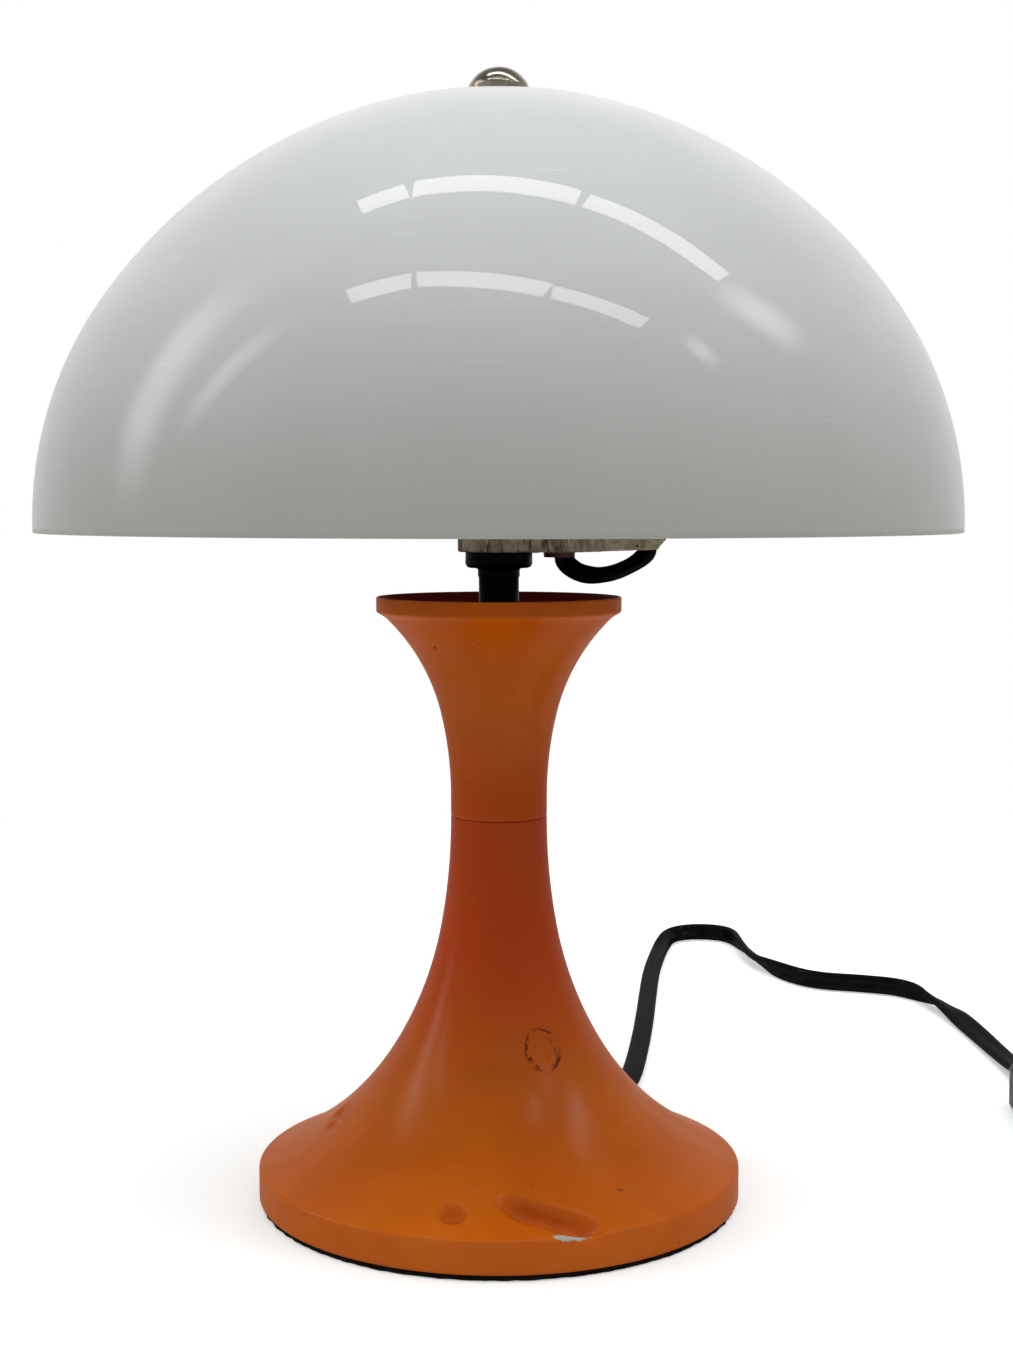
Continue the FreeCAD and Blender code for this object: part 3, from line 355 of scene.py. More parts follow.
# ---------------------------------------------------------------------------
# Node trees
# ---------------------------------------------------------------------------
class Wiring:
    """Adds and joins nodes in a shader or geometry tree."""

    def __init__(self, tree: bpy.types.NodeTree) -> None:
        """Keep the tree."""
        self.tree = tree

    def feed(self, socket: Socket, value: Feed) -> None:
        """Give a socket what it takes.

        Args:
            socket: An input socket.
            value: The output socket that it is joined to, or its own value.
        """
        if isinstance(value, bpy.types.NodeSocket):
            self.tree.links.new(value, socket)
        elif socket.type == "RGBA":
            socket.default_value = (*value[:3], 1.0)
        else:
            socket.default_value = value

    def add(self, kind: str, inputs: Optional[dict] = None, **settings: object) -> bpy.types.Node:
        """Add a node.

        Args:
            kind: The node's type name.
            inputs: Values or output sockets by input name or number.
            **settings: The node's own properties.

        Returns:
            The node.
        """
        node = self.tree.nodes.new(kind)
        for key, value in settings.items():
            setattr(node, key, value)
        for key, value in (inputs or {}).items():
            self.feed(node.inputs[key], value)
        return node

    def value(self, operation: str, first: Feed, second: Feed = 0.0, clamp: bool = False) -> Socket:
        """Add a maths node and give its output."""
        return self.add("ShaderNodeMath", {0: first, 1: second}, operation=operation, use_clamp=clamp).outputs[0]

    def times(self, first: Feed, second: Feed, clamp: bool = False) -> Socket:
        """Multiply two values."""
        return self.value("MULTIPLY", first, second, clamp)

    def less(self, first: Feed, second: Feed) -> Socket:
        """Take the second value from the first."""
        return self.value("SUBTRACT", first, second)

    def vector(self, operation: str, **inputs: Feed) -> Socket:
        """Add a vector maths node.

        Args:
            operation: What it does.
            **inputs: The vectors a and b, or a scale.

        Returns:
            Its vector, or the length.
        """
        named = {{"a": 0, "b": 1, "scale": "Scale"}[name]: value for name, value in inputs.items()}
        node = self.add("ShaderNodeVectorMath", named, operation=operation)
        return node.outputs["Value" if operation == "LENGTH" else "Vector"]

    def parts(self, vector: Feed) -> Sockets:
        """Split a vector into its X, Y and Z."""
        return self.add("ShaderNodeSeparateXYZ", {"Vector": vector}).outputs

    def noise(self, place: Feed, scale: Feed, detail: float = 3.0, rough: float = 0.55, warp: float = 0.0) -> Socket:
        """Add a noise texture and give its value."""
        inputs = {"Vector": place, "Scale": scale, "Detail": detail, "Roughness": rough, "Distortion": warp}
        return self.add("ShaderNodeTexNoise", inputs).outputs["Fac"]

    def span(self, value: Feed, low: float, high: float, first: Feed = 0.0, last: Feed = 1.0) -> Socket:
        """Map a range to another, smoothly, and give the result."""
        inputs = {"Value": value, "From Min": low, "From Max": high, "To Min": first, "To Max": last}
        return self.add("ShaderNodeMapRange", inputs, interpolation_type="SMOOTHSTEP").outputs["Result"]

    def mix(self, share: Feed, first: Feed, second: Feed) -> Socket:
        """Mix two numbers and give the result."""
        return self.add("ShaderNodeMix", {"Factor": share, "A": first, "B": second}, data_type="FLOAT").outputs[0]

    def blend(self, share: Feed, first: Feed, second: Feed) -> Socket:
        """Mix two colours.

        Args:
            share: How much of the second colour there is.
            first: One colour.
            second: The other.

        Returns:
            The mixed colour.
        """
        node = self.add("ShaderNodeMix", data_type="RGBA")
        sockets = {socket.identifier: socket for socket in node.inputs}
        for name, value in (("Factor_Float", share), ("A_Color", first), ("B_Color", second)):
            self.feed(sockets[name], value)
        return next(socket for socket in node.outputs if socket.identifier == "Result_Color")

    def placed(self, place: Feed, turn: Triple = (0.0, 0.0, 0.0), scale: Triple = (1.0, 1.0, 1.0)) -> Socket:
        """Turn and stretch coordinates and give the result."""
        inputs = {"Vector": place, "Rotation": turn, "Scale": scale}
        return self.add("ShaderNodeMapping", inputs, vector_type="POINT").outputs["Vector"]


def socket_kind(value: Optional[Feed]) -> str:
    """Name the type of socket that holds a value. One without a value is a vector."""
    return {int: "NodeSocketInt", float: "NodeSocketFloat"}.get(type(value), "NodeSocketVector")


# ---------------------------------------------------------------------------
# Effects that finishes share
# ---------------------------------------------------------------------------
class Effect:
    """A shader node group, built once and placed in each material with its own values."""

    inputs: ClassVar[dict[str, Optional[Feed]]] = {}
    outputs: ClassVar[tuple[str, ...]] = ("Mask",)

    @classmethod
    def wire(cls, wires: Wiring, given: Sockets) -> tuple[Socket, ...]:
        """Wire the inside of the group.

        Args:
            wires: The group's wiring.
            given: What the group is given, by the names in inputs.

        Returns:
            What the group puts out, in the order of outputs.
        """
        raise NotImplementedError

    @classmethod
    def group(cls) -> bpy.types.NodeTree:
        """Build the group, or give it if it is there.

        Returns:
            The group.
        """
        known = bpy.data.node_groups.get(cls.__name__)
        if known is not None:
            return known
        tree = bpy.data.node_groups.new(cls.__name__, "ShaderNodeTree")
        for label, default in cls.inputs.items():
            socket = tree.interface.new_socket(name=label, in_out="INPUT", socket_type=socket_kind(default))
            if default is not None:
                socket.default_value = default
        for label in cls.outputs:
            tree.interface.new_socket(name=label, in_out="OUTPUT", socket_type="NodeSocketFloat")
        wires = Wiring(tree)
        results = cls.wire(wires, wires.add("NodeGroupInput").outputs)
        wires.add("NodeGroupOutput", dict(zip(cls.outputs, results)))
        return tree

    @classmethod
    def put(cls, wires: Wiring, place: Socket, **values: Feed) -> Sockets:
        """Place the effect in a material.

        Args:
            wires: The material's wiring.
            place: Object coordinates.
            **values: The effect's values, by the names in inputs.

        Returns:
            What the effect puts out.
        """
        return wires.add("ShaderNodeGroup", {"Vector": place, **values}, node_tree=cls.group()).outputs


class Mottle(Effect):
    """Cloudy unevenness of two sizes, from 0 to 1."""

    inputs = {"Vector": None, "Scale": 40.0, "Fine": 700.0}
    outputs = ("Broad", "Fine")
    broad_edge: ClassVar[Pair] = (0.32, 0.68)
    fine_edge: ClassVar[Pair] = (0.3, 0.7)

    @classmethod
    def wire(cls, wires: Wiring, given: Sockets) -> tuple[Socket, ...]:
        """Wire the clouds.

        Args:
            wires: The group's wiring.
            given: What the group is given.

        Returns:
            The broad and the fine clouds.
        """
        broad = wires.noise(given["Vector"], given["Scale"], 4.0, 0.5, 0.6)
        fine = wires.noise(given["Vector"], given["Fine"], 3.0, 0.5)
        return wires.span(broad, *cls.broad_edge), wires.span(fine, *cls.fine_edge)


class Hairlines(Effect):
    """Fine scratches that run round an upright axis, in patches."""

    inputs = {"Vector": None, "Pitch": 1500.0, "Reach": 2.0, "Amount": 0.5}
    line_edge: ClassVar[Pair] = (0.66, 0.72)
    patch_edge: ClassVar[Pair] = (0.45, 0.62)
    patch_scale: ClassVar[float] = 55.0

    @classmethod
    def wire(cls, wires: Wiring, given: Sockets) -> tuple[Socket, ...]:
        """Wire the scratches, as noise that is drawn out round the axis.

        Args:
            wires: The group's wiring.
            given: What the group is given.

        Returns:
            The scratches' mask.
        """
        parts = wires.parts(given["Vector"])
        azimuth = wires.value("ARCTAN2", parts["Y"], parts["X"])
        around = {
            "X": wires.times(wires.value("COSINE", azimuth), given["Reach"]),
            "Y": wires.times(wires.value("SINE", azimuth), given["Reach"]),
            "Z": wires.times(parts["Z"], given["Pitch"]),
        }
        lines = wires.noise(wires.add("ShaderNodeCombineXYZ", around).outputs["Vector"], 1.0, 2.0, 0.5)
        patches = wires.noise(given["Vector"], cls.patch_scale, 2.0)
        thin = wires.times(wires.span(lines, *cls.line_edge), wires.span(patches, *cls.patch_edge))
        return (wires.times(thin, given["Amount"]),)


class Specks(Effect):
    """Scattered small spots, as dust and pits."""

    inputs = {"Vector": None, "Scale": 150.0, "Size": 0.1}
    empty_share: ClassVar[float] = 0.72

    @classmethod
    def wire(cls, wires: Wiring, given: Sockets) -> tuple[Socket, ...]:
        """Wire the spots, one in the middle of some of the cells.

        Args:
            wires: The group's wiring.
            given: What the group is given.

        Returns:
            The spots' mask.
        """
        cells = wires.add("ShaderNodeTexVoronoi", {"Vector": given["Vector"], "Scale": given["Scale"]}).outputs
        near = wires.value("LESS_THAN", cells["Distance"], given["Size"])
        chance = wires.add("ShaderNodeSeparateColor", {0: cells["Color"]}).outputs[0]
        return (wires.times(near, wires.value("GREATER_THAN", chance, cls.empty_share)),)


class Smear(Effect):
    """A soft-edged spot or ring at one place, broken up by noise: a chip, a stain, or a patch of painted shade."""

    inputs = {
        "Vector": None, "Centre": (0.0, 0.0, 0.0), "Stretch": (1.0, 1.0, 1.0), "Radius": 0.005, "Width": 0.002,
        "Ragged": 0.001, "Grain": 900.0, "Gaps": 0.0,
    }
    outputs = ("Spot", "Ring")
    wear_scale: ClassVar[float] = 330.0
    wear_edge: ClassVar[Pair] = (0.42, 0.58)

    @classmethod
    def wire(cls, wires: Wiring, given: Sockets) -> tuple[Socket, ...]:
        """Wire the spot and the ring round its edge, which has worn gaps.

        Args:
            wires: The group's wiring.
            given: What the group is given.

        Returns:
            The spot's and the ring's mask.
        """
        place, width = given["Vector"], given["Width"]
        offset = wires.vector("SUBTRACT", a=place, b=given["Centre"])
        distance = wires.vector("LENGTH", a=wires.vector("MULTIPLY", a=offset, b=given["Stretch"]))
        rough = wires.noise(place, given["Grain"], 3.0, 0.5)
        ragged = wires.value("ADD", distance, wires.times(wires.less(rough, 0.5), given["Ragged"]))
        inside = wires.less(given["Radius"], ragged)
        spot = wires.value("DIVIDE", inside, width, clamp=True)
        away = wires.value("DIVIDE", wires.value("ABSOLUTE", inside), width)
        ring = wires.value("SUBTRACT", 1.0, away, clamp=True)
        worn = wires.span(wires.noise(place, cls.wear_scale, 4.0, 0.7), *cls.wear_edge)
        kept = wires.less(1.0, wires.times(given["Gaps"], wires.less(1.0, worn)))
        return spot, wires.times(ring, kept)


# ---------------------------------------------------------------------------
# Finishes
# ---------------------------------------------------------------------------
@dataclass(frozen=True)
class Finish:
    """A finish: its plain colour, its gloss, and how uneven both are."""

    name: str
    colour: Colour
    second: Colour
    roughness: float = 0.4
    spread: float = 0.1
    metallic: float = 0.0
    coat: float = 0.0
    coat_roughness: float = 0.05
    specular: float = 0.5
    index: float = 1.5
    coat_index: float = 1.5
    scale: float = 60.0
    grain: float = 900.0
    grained: float = 0.25
    bump: float = 0.05
    depth: float = 0.00002

    def material(self) -> bpy.types.Material:
        """Build the material, or give it if it is there.

        Returns:
            The material.
        """
        known = bpy.data.materials.get(self.name)
        if known is not None:
            return known
        made = bpy.data.materials.new(self.name)
        made.use_nodes = True
        made.diffuse_color = (*self.colour, 1.0)
        made.node_tree.nodes.clear()
        wires = Wiring(made.node_tree)
        place = wires.add("ShaderNodeTexCoord").outputs["Object"]
        colour, roughness, height = self.surface(wires, place)
        bump = wires.add("ShaderNodeBump", {"Strength": self.bump, "Distance": self.depth, "Height": height})
        shader = wires.add(
            "ShaderNodeBsdfPrincipled",
            {"Base Color": colour, "Roughness": roughness, "Normal": bump.outputs["Normal"], "Metallic": self.metallic,
             "Specular IOR Level": self.specular, "IOR": self.index, "Coat Weight": self.coat,
             "Coat Roughness": self.coat_roughness, "Coat IOR": self.coat_index},
        )
        self.extras(wires, place, shader)
        wires.add("ShaderNodeOutputMaterial", {"Surface": shader.outputs[0]})
        return made

    def surface(self, wires: Wiring, place: Socket) -> Surface:
        """Wire the changing colour, roughness and height.

        Args:
            wires: The material's wiring.
            place: Object coordinates.

        Returns:
            The colour, roughness and height outputs.
        """
        cloud = Mottle.put(wires, place, Scale=self.scale, Fine=self.grain)
        colour = wires.blend(cloud["Broad"], self.colour, self.second)
        colour = wires.blend(wires.times(cloud["Fine"], self.grained), colour, self.second)
        low, high = self.roughness - self.spread, self.roughness + self.spread
        return colour, wires.span(cloud["Broad"], 0.0, 1.0, low, high), cloud["Fine"]

    def extras(self, wires: Wiring, place: Socket, shader: bpy.types.Node) -> None:
        """Nothing more, unless a finish needs it."""


@dataclass(frozen=True)
class Mark:
    """A spot or a ring on a painted surface, at a place in millimetres."""

    centre: Triple
    radius: float
    width: float
    colour: Colour
    ring: bool = False
    strength: float = 1.0
    ragged: float = 0.6
    grain: float = 900.0
    stretch: Triple = (1.0, 1.0, 1.0)
    gaps: float = 0.0


@dataclass(frozen=True)
class SprayedPaint(Finish):
    """Satin sprayed paint with painted shade by height, grime, scratches and single marks."""

    marks: tuple[Mark, ...] = ()
    # Painted shade: the darker, redder colour that the paint turns to over a span of heights, standing in for shade and
    # orange bounce light.
    deep: Colour = (0.62, 0.077, 0.005)
    painted_shade_span: Pair = (30.0, 75.0)
    scratch_pale: float = 1.5
    scratch_deep: float = 0.8
    speck_dark: float = 0.25
    speck_share: float = 0.6
    mark_dull: float = 0.15
    mark_deep: float = 0.6

    def surface(self, wires: Wiring, place: Socket) -> Surface:
        """Wire the paint: clouds, streaks, painted shade by height, hairlines, specks and marks.

        Args:
            wires: The material's wiring.
            place: Object coordinates.

        Returns:
            The colour, roughness and height outputs.
        """
        colour, roughness, height = super().surface(wires, place)
        # Painted shade: blend towards the darker, redder colour by height.
        painted_shade_share = wires.span(wires.parts(place)["Z"], self.painted_shade_span[0] * MM, self.painted_shade_span[1] * MM)
        colour = wires.blend(painted_shade_share, colour, self.deep)
        lines = Hairlines.put(wires, place, Pitch=900.0, Reach=3.0, Amount=0.1)["Mask"]
        colour = wires.blend(lines, colour, tuple(min(1.0, c * self.scratch_pale + 0.02) for c in self.colour))
        spots = Specks.put(wires, place, Scale=210.0, Size=0.055)["Mask"]
        dark = tuple(c * self.speck_dark for c in self.colour)
        colour = wires.blend(wires.times(spots, self.speck_share), colour, dark)
        height = wires.less(height, wires.times(lines, self.scratch_deep))
        for mark in self.marks:
            smear = Smear.put(
                wires, place, Centre=tuple(v * MM for v in mark.centre), Stretch=mark.stretch, Radius=mark.radius * MM,
                Width=mark.width * MM, Ragged=mark.ragged * MM, Grain=mark.grain, Gaps=mark.gaps,
            )
            mask = wires.times(smear["Ring" if mark.ring else "Spot"], mark.strength, clamp=True)
            colour = wires.blend(mask, colour, mark.colour)
            roughness = wires.value("ADD", roughness, wires.times(mask, self.mark_dull))
            height = wires.less(height, wires.times(mask, self.mark_deep))
        return colour, roughness, height


@dataclass(frozen=True)
class OpalAcrylic(Finish):
    """Polished opal acrylic: milky, finely scratched, with dust specks."""

    subsurface: float = 0.3
    subsurface_reach: float = 3.0
    scratched: float = 0.8
    scratch: Colour = (0.88, 0.9, 0.9)
    scratch_share: float = 0.3
    scratch_dull: float = 0.2
    dust: Colour = (0.3, 0.3, 0.29)
    dust_share: float = 0.4
    cloud_deep: float = 0.3

    def surface(self, wires: Wiring, place: Socket) -> Surface:
        """Wire the acrylic: soft clouds, hairlines and specks.

        Args:
            wires: The material's wiring.
            place: Object coordinates.

        Returns:
            The colour, roughness and height outputs.
        """
        colour, roughness, height = super().surface(wires, place)
        lines = Hairlines.put(wires, place, Pitch=1400.0, Reach=2.2, Amount=1.0)["Mask"]
        spots = Specks.put(wires, place, Scale=130.0, Size=0.03)["Mask"]
        colour = wires.blend(wires.times(lines, self.scratch_share), colour, self.scratch)
        colour = wires.blend(wires.times(spots, self.dust_share), colour, self.dust)
        roughness = wires.value("ADD", roughness, wires.times(lines, self.scratch_dull))
        return colour, roughness, wires.less(wires.times(height, self.cloud_deep), lines)

    def extras(self, wires: Wiring, place: Socket, shader: bpy.types.Node) -> None:
        """Let light go a little way into the acrylic, and dull its gloss along fine scratches.

        Args:
            wires: The material's wiring.
            place: Object coordinates.
            shader: The Principled shader.
        """
        lines = Hairlines.put(wires, place, Pitch=800.0, Reach=2.6, Amount=1.0)["Mask"]
        gloss = wires.less(1.0, wires.times(lines, self.scratched))
        wires.feed(shader.inputs["Coat Weight"], wires.times(gloss, self.coat))
        wires.feed(shader.inputs["Subsurface Weight"], self.subsurface)
        wires.feed(shader.inputs["Subsurface Radius"], WHITE)
        wires.feed(shader.inputs["Subsurface Scale"], self.subsurface_reach * MM)


@dataclass(frozen=True)
class RoughCasting(Finish):
    """Unmachined casting with stains that run down it and small pits."""

    stain: Colour = (0.1, 0.06, 0.03)
    stained: Pair = (6.0, 30.0)
    stained_far: float = 0.35
    streak_drawn: Triple = (1.0, 1.0, 0.18)
    streak_scale: float = 420.0
    streak_edge: Pair = (0.5, 0.62)
    pit_dark: float = 0.35
    pit_deep: float = 1.5

    def surface(self, wires: Wiring, place: Socket) -> Surface:
        """Wire the casting: grain, stains and pits.

        Args:
            wires: The material's wiring.
            place: Object coordinates.

        Returns:
            The colour, roughness and height outputs.
        """
        colour, roughness, height = super().surface(wires, place)
        streaks = wires.noise(wires.placed(place, scale=self.streak_drawn), self.streak_scale, 3.0, 0.6, 0.4)
        near, far = (v * MM for v in self.stained)
        nearer = wires.span(wires.parts(place)["X"], near, far, 1.0, self.stained_far)
        colour = wires.blend(wires.times(wires.span(streaks, *self.streak_edge), nearer), colour, self.stain)
        pits = Specks.put(wires, place, Scale=420.0, Size=0.16)["Mask"]
        colour = wires.blend(pits, colour, tuple(c * self.pit_dark for c in self.stain))
        return colour, roughness, wires.less(height, wires.times(pits, self.pit_deep))


@dataclass(frozen=True)
class Fibrous(Finish):
    """Felt: short matted fibres."""

    fibre_turn: Triple = (0.0, 0.0, 0.7)
    fibre_drawn: Triple = (1.0, 5.0, 1.0)
    fibre_scale: float = 700.0

    def surface(self, wires: Wiring, place: Socket) -> Surface:
        """Wire the felt's lumps and fibres.

        Args:
            wires: The material's wiring.
            place: Object coordinates.

        Returns:
            The colour, roughness and height outputs.
        """
        colour, roughness, _ = super().surface(wires, place)
        drawn = wires.placed(place, self.fibre_turn, self.fibre_drawn)
        fibres = wires.noise(drawn, self.fibre_scale, 4.0, 0.7, 2.5)
        return wires.blend(fibres, colour, self.second), roughness, fibres


@dataclass(frozen=True)
class BrushedMetal(Finish):
    """Plated or bare metal with turning lines and dull patches."""

    line_dull: float = 0.25

    def surface(self, wires: Wiring, place: Socket) -> Surface:
        """Wire the metal's lines and tarnish.

        Args:
            wires: The material's wiring.
            place: Object coordinates.

        Returns:
            The colour, roughness and height outputs.
        """
        colour, roughness, height = super().surface(wires, place)
        lines = Hairlines.put(wires, place, Pitch=5200.0, Reach=1.2, Amount=0.7)["Mask"]
        roughness = wires.value("ADD", roughness, wires.times(lines, self.line_dull))
        return colour, roughness, wires.less(height, lines)


PRIMER = (0.52, 0.50, 0.45)
# Painted shade: a dark red-brown laid into the dents, where the real dents fall into shade.
DENT_PAINTED_SHADE = (0.30, 0.03, 0.008)
RING_STAIN = (0.05, 0.009, 0.004)
FOOT_MARKS = (
    Mark(
        (11.9, -23.6, 47.2), 5.2, 0.55, RING_STAIN, ring=True, ragged=2.6, grain=330.0, gaps=0.95,
        stretch=(1.0, 1.0, 0.86),
    ),
    Mark((11.6, -23.9, 46.8), 4.4, 0.28, RING_STAIN, ring=True, strength=0.7, ragged=2.8, grain=520.0, gaps=1.0),
    Mark((8.6, -26.4, 45.6), 1.1, 0.8, RING_STAIN, strength=0.85, ragged=2.4, grain=1300.0),
    Mark((10.4, -27.0, 43.4), 0.9, 0.6, RING_STAIN, strength=0.7, ragged=2.2, grain=1500.0),
    Mark((10.0, -23.9, 48.6), 0.5, 0.4, RING_STAIN, strength=0.6, ragged=1.4, grain=1500.0),
    Mark((13.4, -24.2, 45.4), 0.4, 0.3, RING_STAIN, strength=0.6, ragged=1.2, grain=1500.0),
    Mark((12.4, -25.1, 46.3), 0.3, 0.25, RING_STAIN, strength=0.5, ragged=1.0, grain=1500.0),
    Mark((17.0, -64.5, 10.8), 1.1, 0.3, PRIMER, ragged=1.0, grain=900.0, stretch=(0.34, 1.0, 1.0)),
    Mark((20.3, -63.5, 10.8), 1.4, 0.3, PRIMER, ragged=1.3, grain=800.0, stretch=(0.34, 1.0, 1.0)),
    Mark((23.4, -62.4, 10.7), 0.95, 0.3, PRIMER, ragged=1.0, grain=900.0, stretch=(0.4, 1.0, 1.0)),
    # Painted shade: soft dark spots along the big dent and in the round dent.
    Mark((6.8, -57.6, 12.9), 3.4, 2.4, DENT_PAINTED_SHADE, strength=0.5, ragged=0.8, grain=260.0),
    Mark((14.2, -59.2, 11.2), 4.0, 2.4, DENT_PAINTED_SHADE, strength=0.5, ragged=0.8, grain=260.0),
    Mark((20.8, -59.9, 9.9), 3.4, 2.2, DENT_PAINTED_SHADE, strength=0.6, ragged=0.8, grain=260.0),
    Mark((-11.7, -57.9, 12.2), 2.6, 1.8, DENT_PAINTED_SHADE, strength=0.45, ragged=0.6, grain=260.0),
    Mark((31.5, -45.6, 16.4), 1.6, 0.25, (0.12, 0.04, 0.02), ragged=0.8, stretch=(1.0, 3.0, 4.0), strength=0.6),
    Mark((-6.0, -51.7, 18.5), 1.4, 0.25, (0.6, 0.2, 0.05), ragged=0.8, stretch=(0.8, 3.0, 4.0), strength=0.5),
)
BELL_MARKS = (Mark((-17.0, -18.1, 155.1), 0.5, 0.2, (0.03, 0.01, 0.005), ragged=0.2),)


class Finishes:
    """Every finish of the lamp, and which one each of the record's material slots has."""

    # The foot's paint turns darker and redder towards its neck, under the bell: painted shade.
    foot = SprayedPaint(
        "foot_paint", (0.67, 0.145, 0.0065), (0.61, 0.12, 0.005), 0.45, 0.05, coat=0.15, coat_roughness=0.22,
        index=1.05, coat_index=1.8, marks=FOOT_MARKS, scale=35.0, bump=0.12,
    )
    # Painted light: the bell's paint is a brighter copy of the foot's, making up for the dome's shade, and it darkens
    # with painted shade towards its narrow lower end.
    bell = SprayedPaint(
        "bell_paint_brightened", (0.80, 0.162, 0.005), (0.72, 0.138, 0.004), 0.45, 0.05, coat=0.13, coat_roughness=0.22,
        index=1.05, coat_index=1.8, marks=BELL_MARKS, deep=(0.66, 0.10, 0.004), painted_shade_span=(140.0, 108.0), scale=45.0,
        bump=0.12,
    )
    # Painted shade: the cup's inside is a dark red copy of the orange paint.
    bell_inside_painted_shade = SprayedPaint(
        "bell_inside_painted_shade", (0.30, 0.03, 0.018), (0.22, 0.018, 0.010), 0.5, 0.08, index=1.2, deep=(0.26, 0.022, 0.012),
        scale=70.0,
    )
    acrylic = OpalAcrylic(
        "opal_dome", (0.655, 0.67, 0.664), (0.62, 0.635, 0.626), 0.34, 0.03, coat=0.27, coat_roughness=0.016,
        coat_index=1.8, specular=0.08, scale=14.0, grain=500.0, bump=0.06,
    )
    felt = Fibrous(
        "black_felt", (0.005, 0.005, 0.005), (0.022, 0.021, 0.020), 0.95, 0.03, index=1.05, scale=120.0,
        bump=0.8, depth=0.0004,
    )
    iron = RoughCasting(
        "ballast_iron", (0.10, 0.10, 0.10), (0.055, 0.052, 0.05), 0.6, 0.12, scale=90.0, grain=1100.0, bump=0.7,
        depth=0.0003,
    )
    zinc = BrushedMetal(
        "zinc_plate", (0.58, 0.58, 0.57), (0.42, 0.42, 0.40), 0.34, 0.08, metallic=1.0, scale=160.0, bump=0.1,
    )
    rubber = Finish(
        "bush_rubber", (0.010, 0.010, 0.010), (0.02, 0.02, 0.019), 0.55, 0.08, index=1.2, scale=160.0, bump=0.15,
    )
    stem = Finish(
        "stem_paint", (0.0025, 0.0025, 0.0025), (0.006, 0.0057, 0.0055), 0.42, 0.1, index=1.12, scale=180.0, bump=0.1,
    )
    casting = RoughCasting(
        "arm_casting", (0.80, 0.76, 0.60), (0.50, 0.44, 0.30), 0.62, 0.1, index=1.3, scale=260.0, grain=1500.0,
        bump=0.6, depth=0.00025,
    )
    fibre = Finish("bush_fibre", (0.13, 0.015, 0.01), (0.07, 0.008, 0.006), 0.55, 0.08, scale=300.0, bump=0.1)
    brass = BrushedMetal(
        "dull_brass", (0.60, 0.43, 0.17), (0.42, 0.29, 0.12), 0.34, 0.1, metallic=1.0, scale=150.0, bump=0.1,
    )
    bakelite = Finish(
        "bakelite", (0.010, 0.009, 0.008), (0.02, 0.016, 0.014), 0.26, 0.06, coat=0.1, index=1.15, coat_index=1.8,
        scale=120.0, bump=0.05,
    )
    jacket = Finish(
        "flat_jacket", (0.0025, 0.0025, 0.0027), (0.006, 0.006, 0.0065), 0.4, 0.05, coat=0.045, coat_roughness=0.16,
        index=1.02, coat_index=1.8, scale=200.0, bump=0.12,
    )
    moulding = Finish(
        "black_moulding", (0.005, 0.005, 0.0052), (0.010, 0.010, 0.010), 0.36, 0.07, index=1.2, scale=140.0,
        grain=1600.0, bump=0.12,
    )
    tape = Fibrous(
        "tie_strap", (0.006, 0.006, 0.006), (0.02, 0.02, 0.02), 0.9, 0.04, index=1.1, scale=300.0, bump=0.6,
        depth=0.0002,
    )
    nickel = BrushedMetal(
        "worn_nickel", (0.46, 0.43, 0.35), (0.27, 0.245, 0.19), 0.20, 0.06, metallic=1.0, scale=300.0, bump=0.06,
    )
    glass = OpalAcrylic(
        "milk_glass", (0.86, 0.86, 0.84), (0.82, 0.82, 0.80), 0.16, 0.03, coat=0.4, scale=30.0, bump=0.02,
    )
    by_slot: ClassVar[dict[str, Finish]] = {
        "felt": felt, "orange_paint": foot, "cast_iron": iron, "zinc": zinc, "black_rubber": rubber,
        "black_plastic": moulding, "black_paint": stem, "grey_casting": casting, "red_fibre": fibre, "brass": brass,
        "black_bakelite": bakelite, "cord_jacket": jacket, "nickel": nickel, "opal_acrylic": acrylic,
        "opal_glass": glass,
    }


def dressed(piece: bpy.types.Object, finish: Finish, slot: str, body: Body, *nodes: str) -> bpy.types.Object:
    """Give a piece its finish and body, and hide the nodes that it stands for.

    Args:
        piece: The finished piece.
        finish: Its finish.
        slot: The record's material slot.
        body: The body that it rides on.
        *nodes: Nodes of the frame that it replaces.

    Returns:
        The same object.
    """
    if not piece.data.materials:
        piece.data.materials.append(finish.material())
    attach(piece, body.value)
    if nodes:
        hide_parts(*nodes)
    log.info("piece %s on %s, %d faces", piece.name, body.value, len(piece.data.polygons))
    return piece


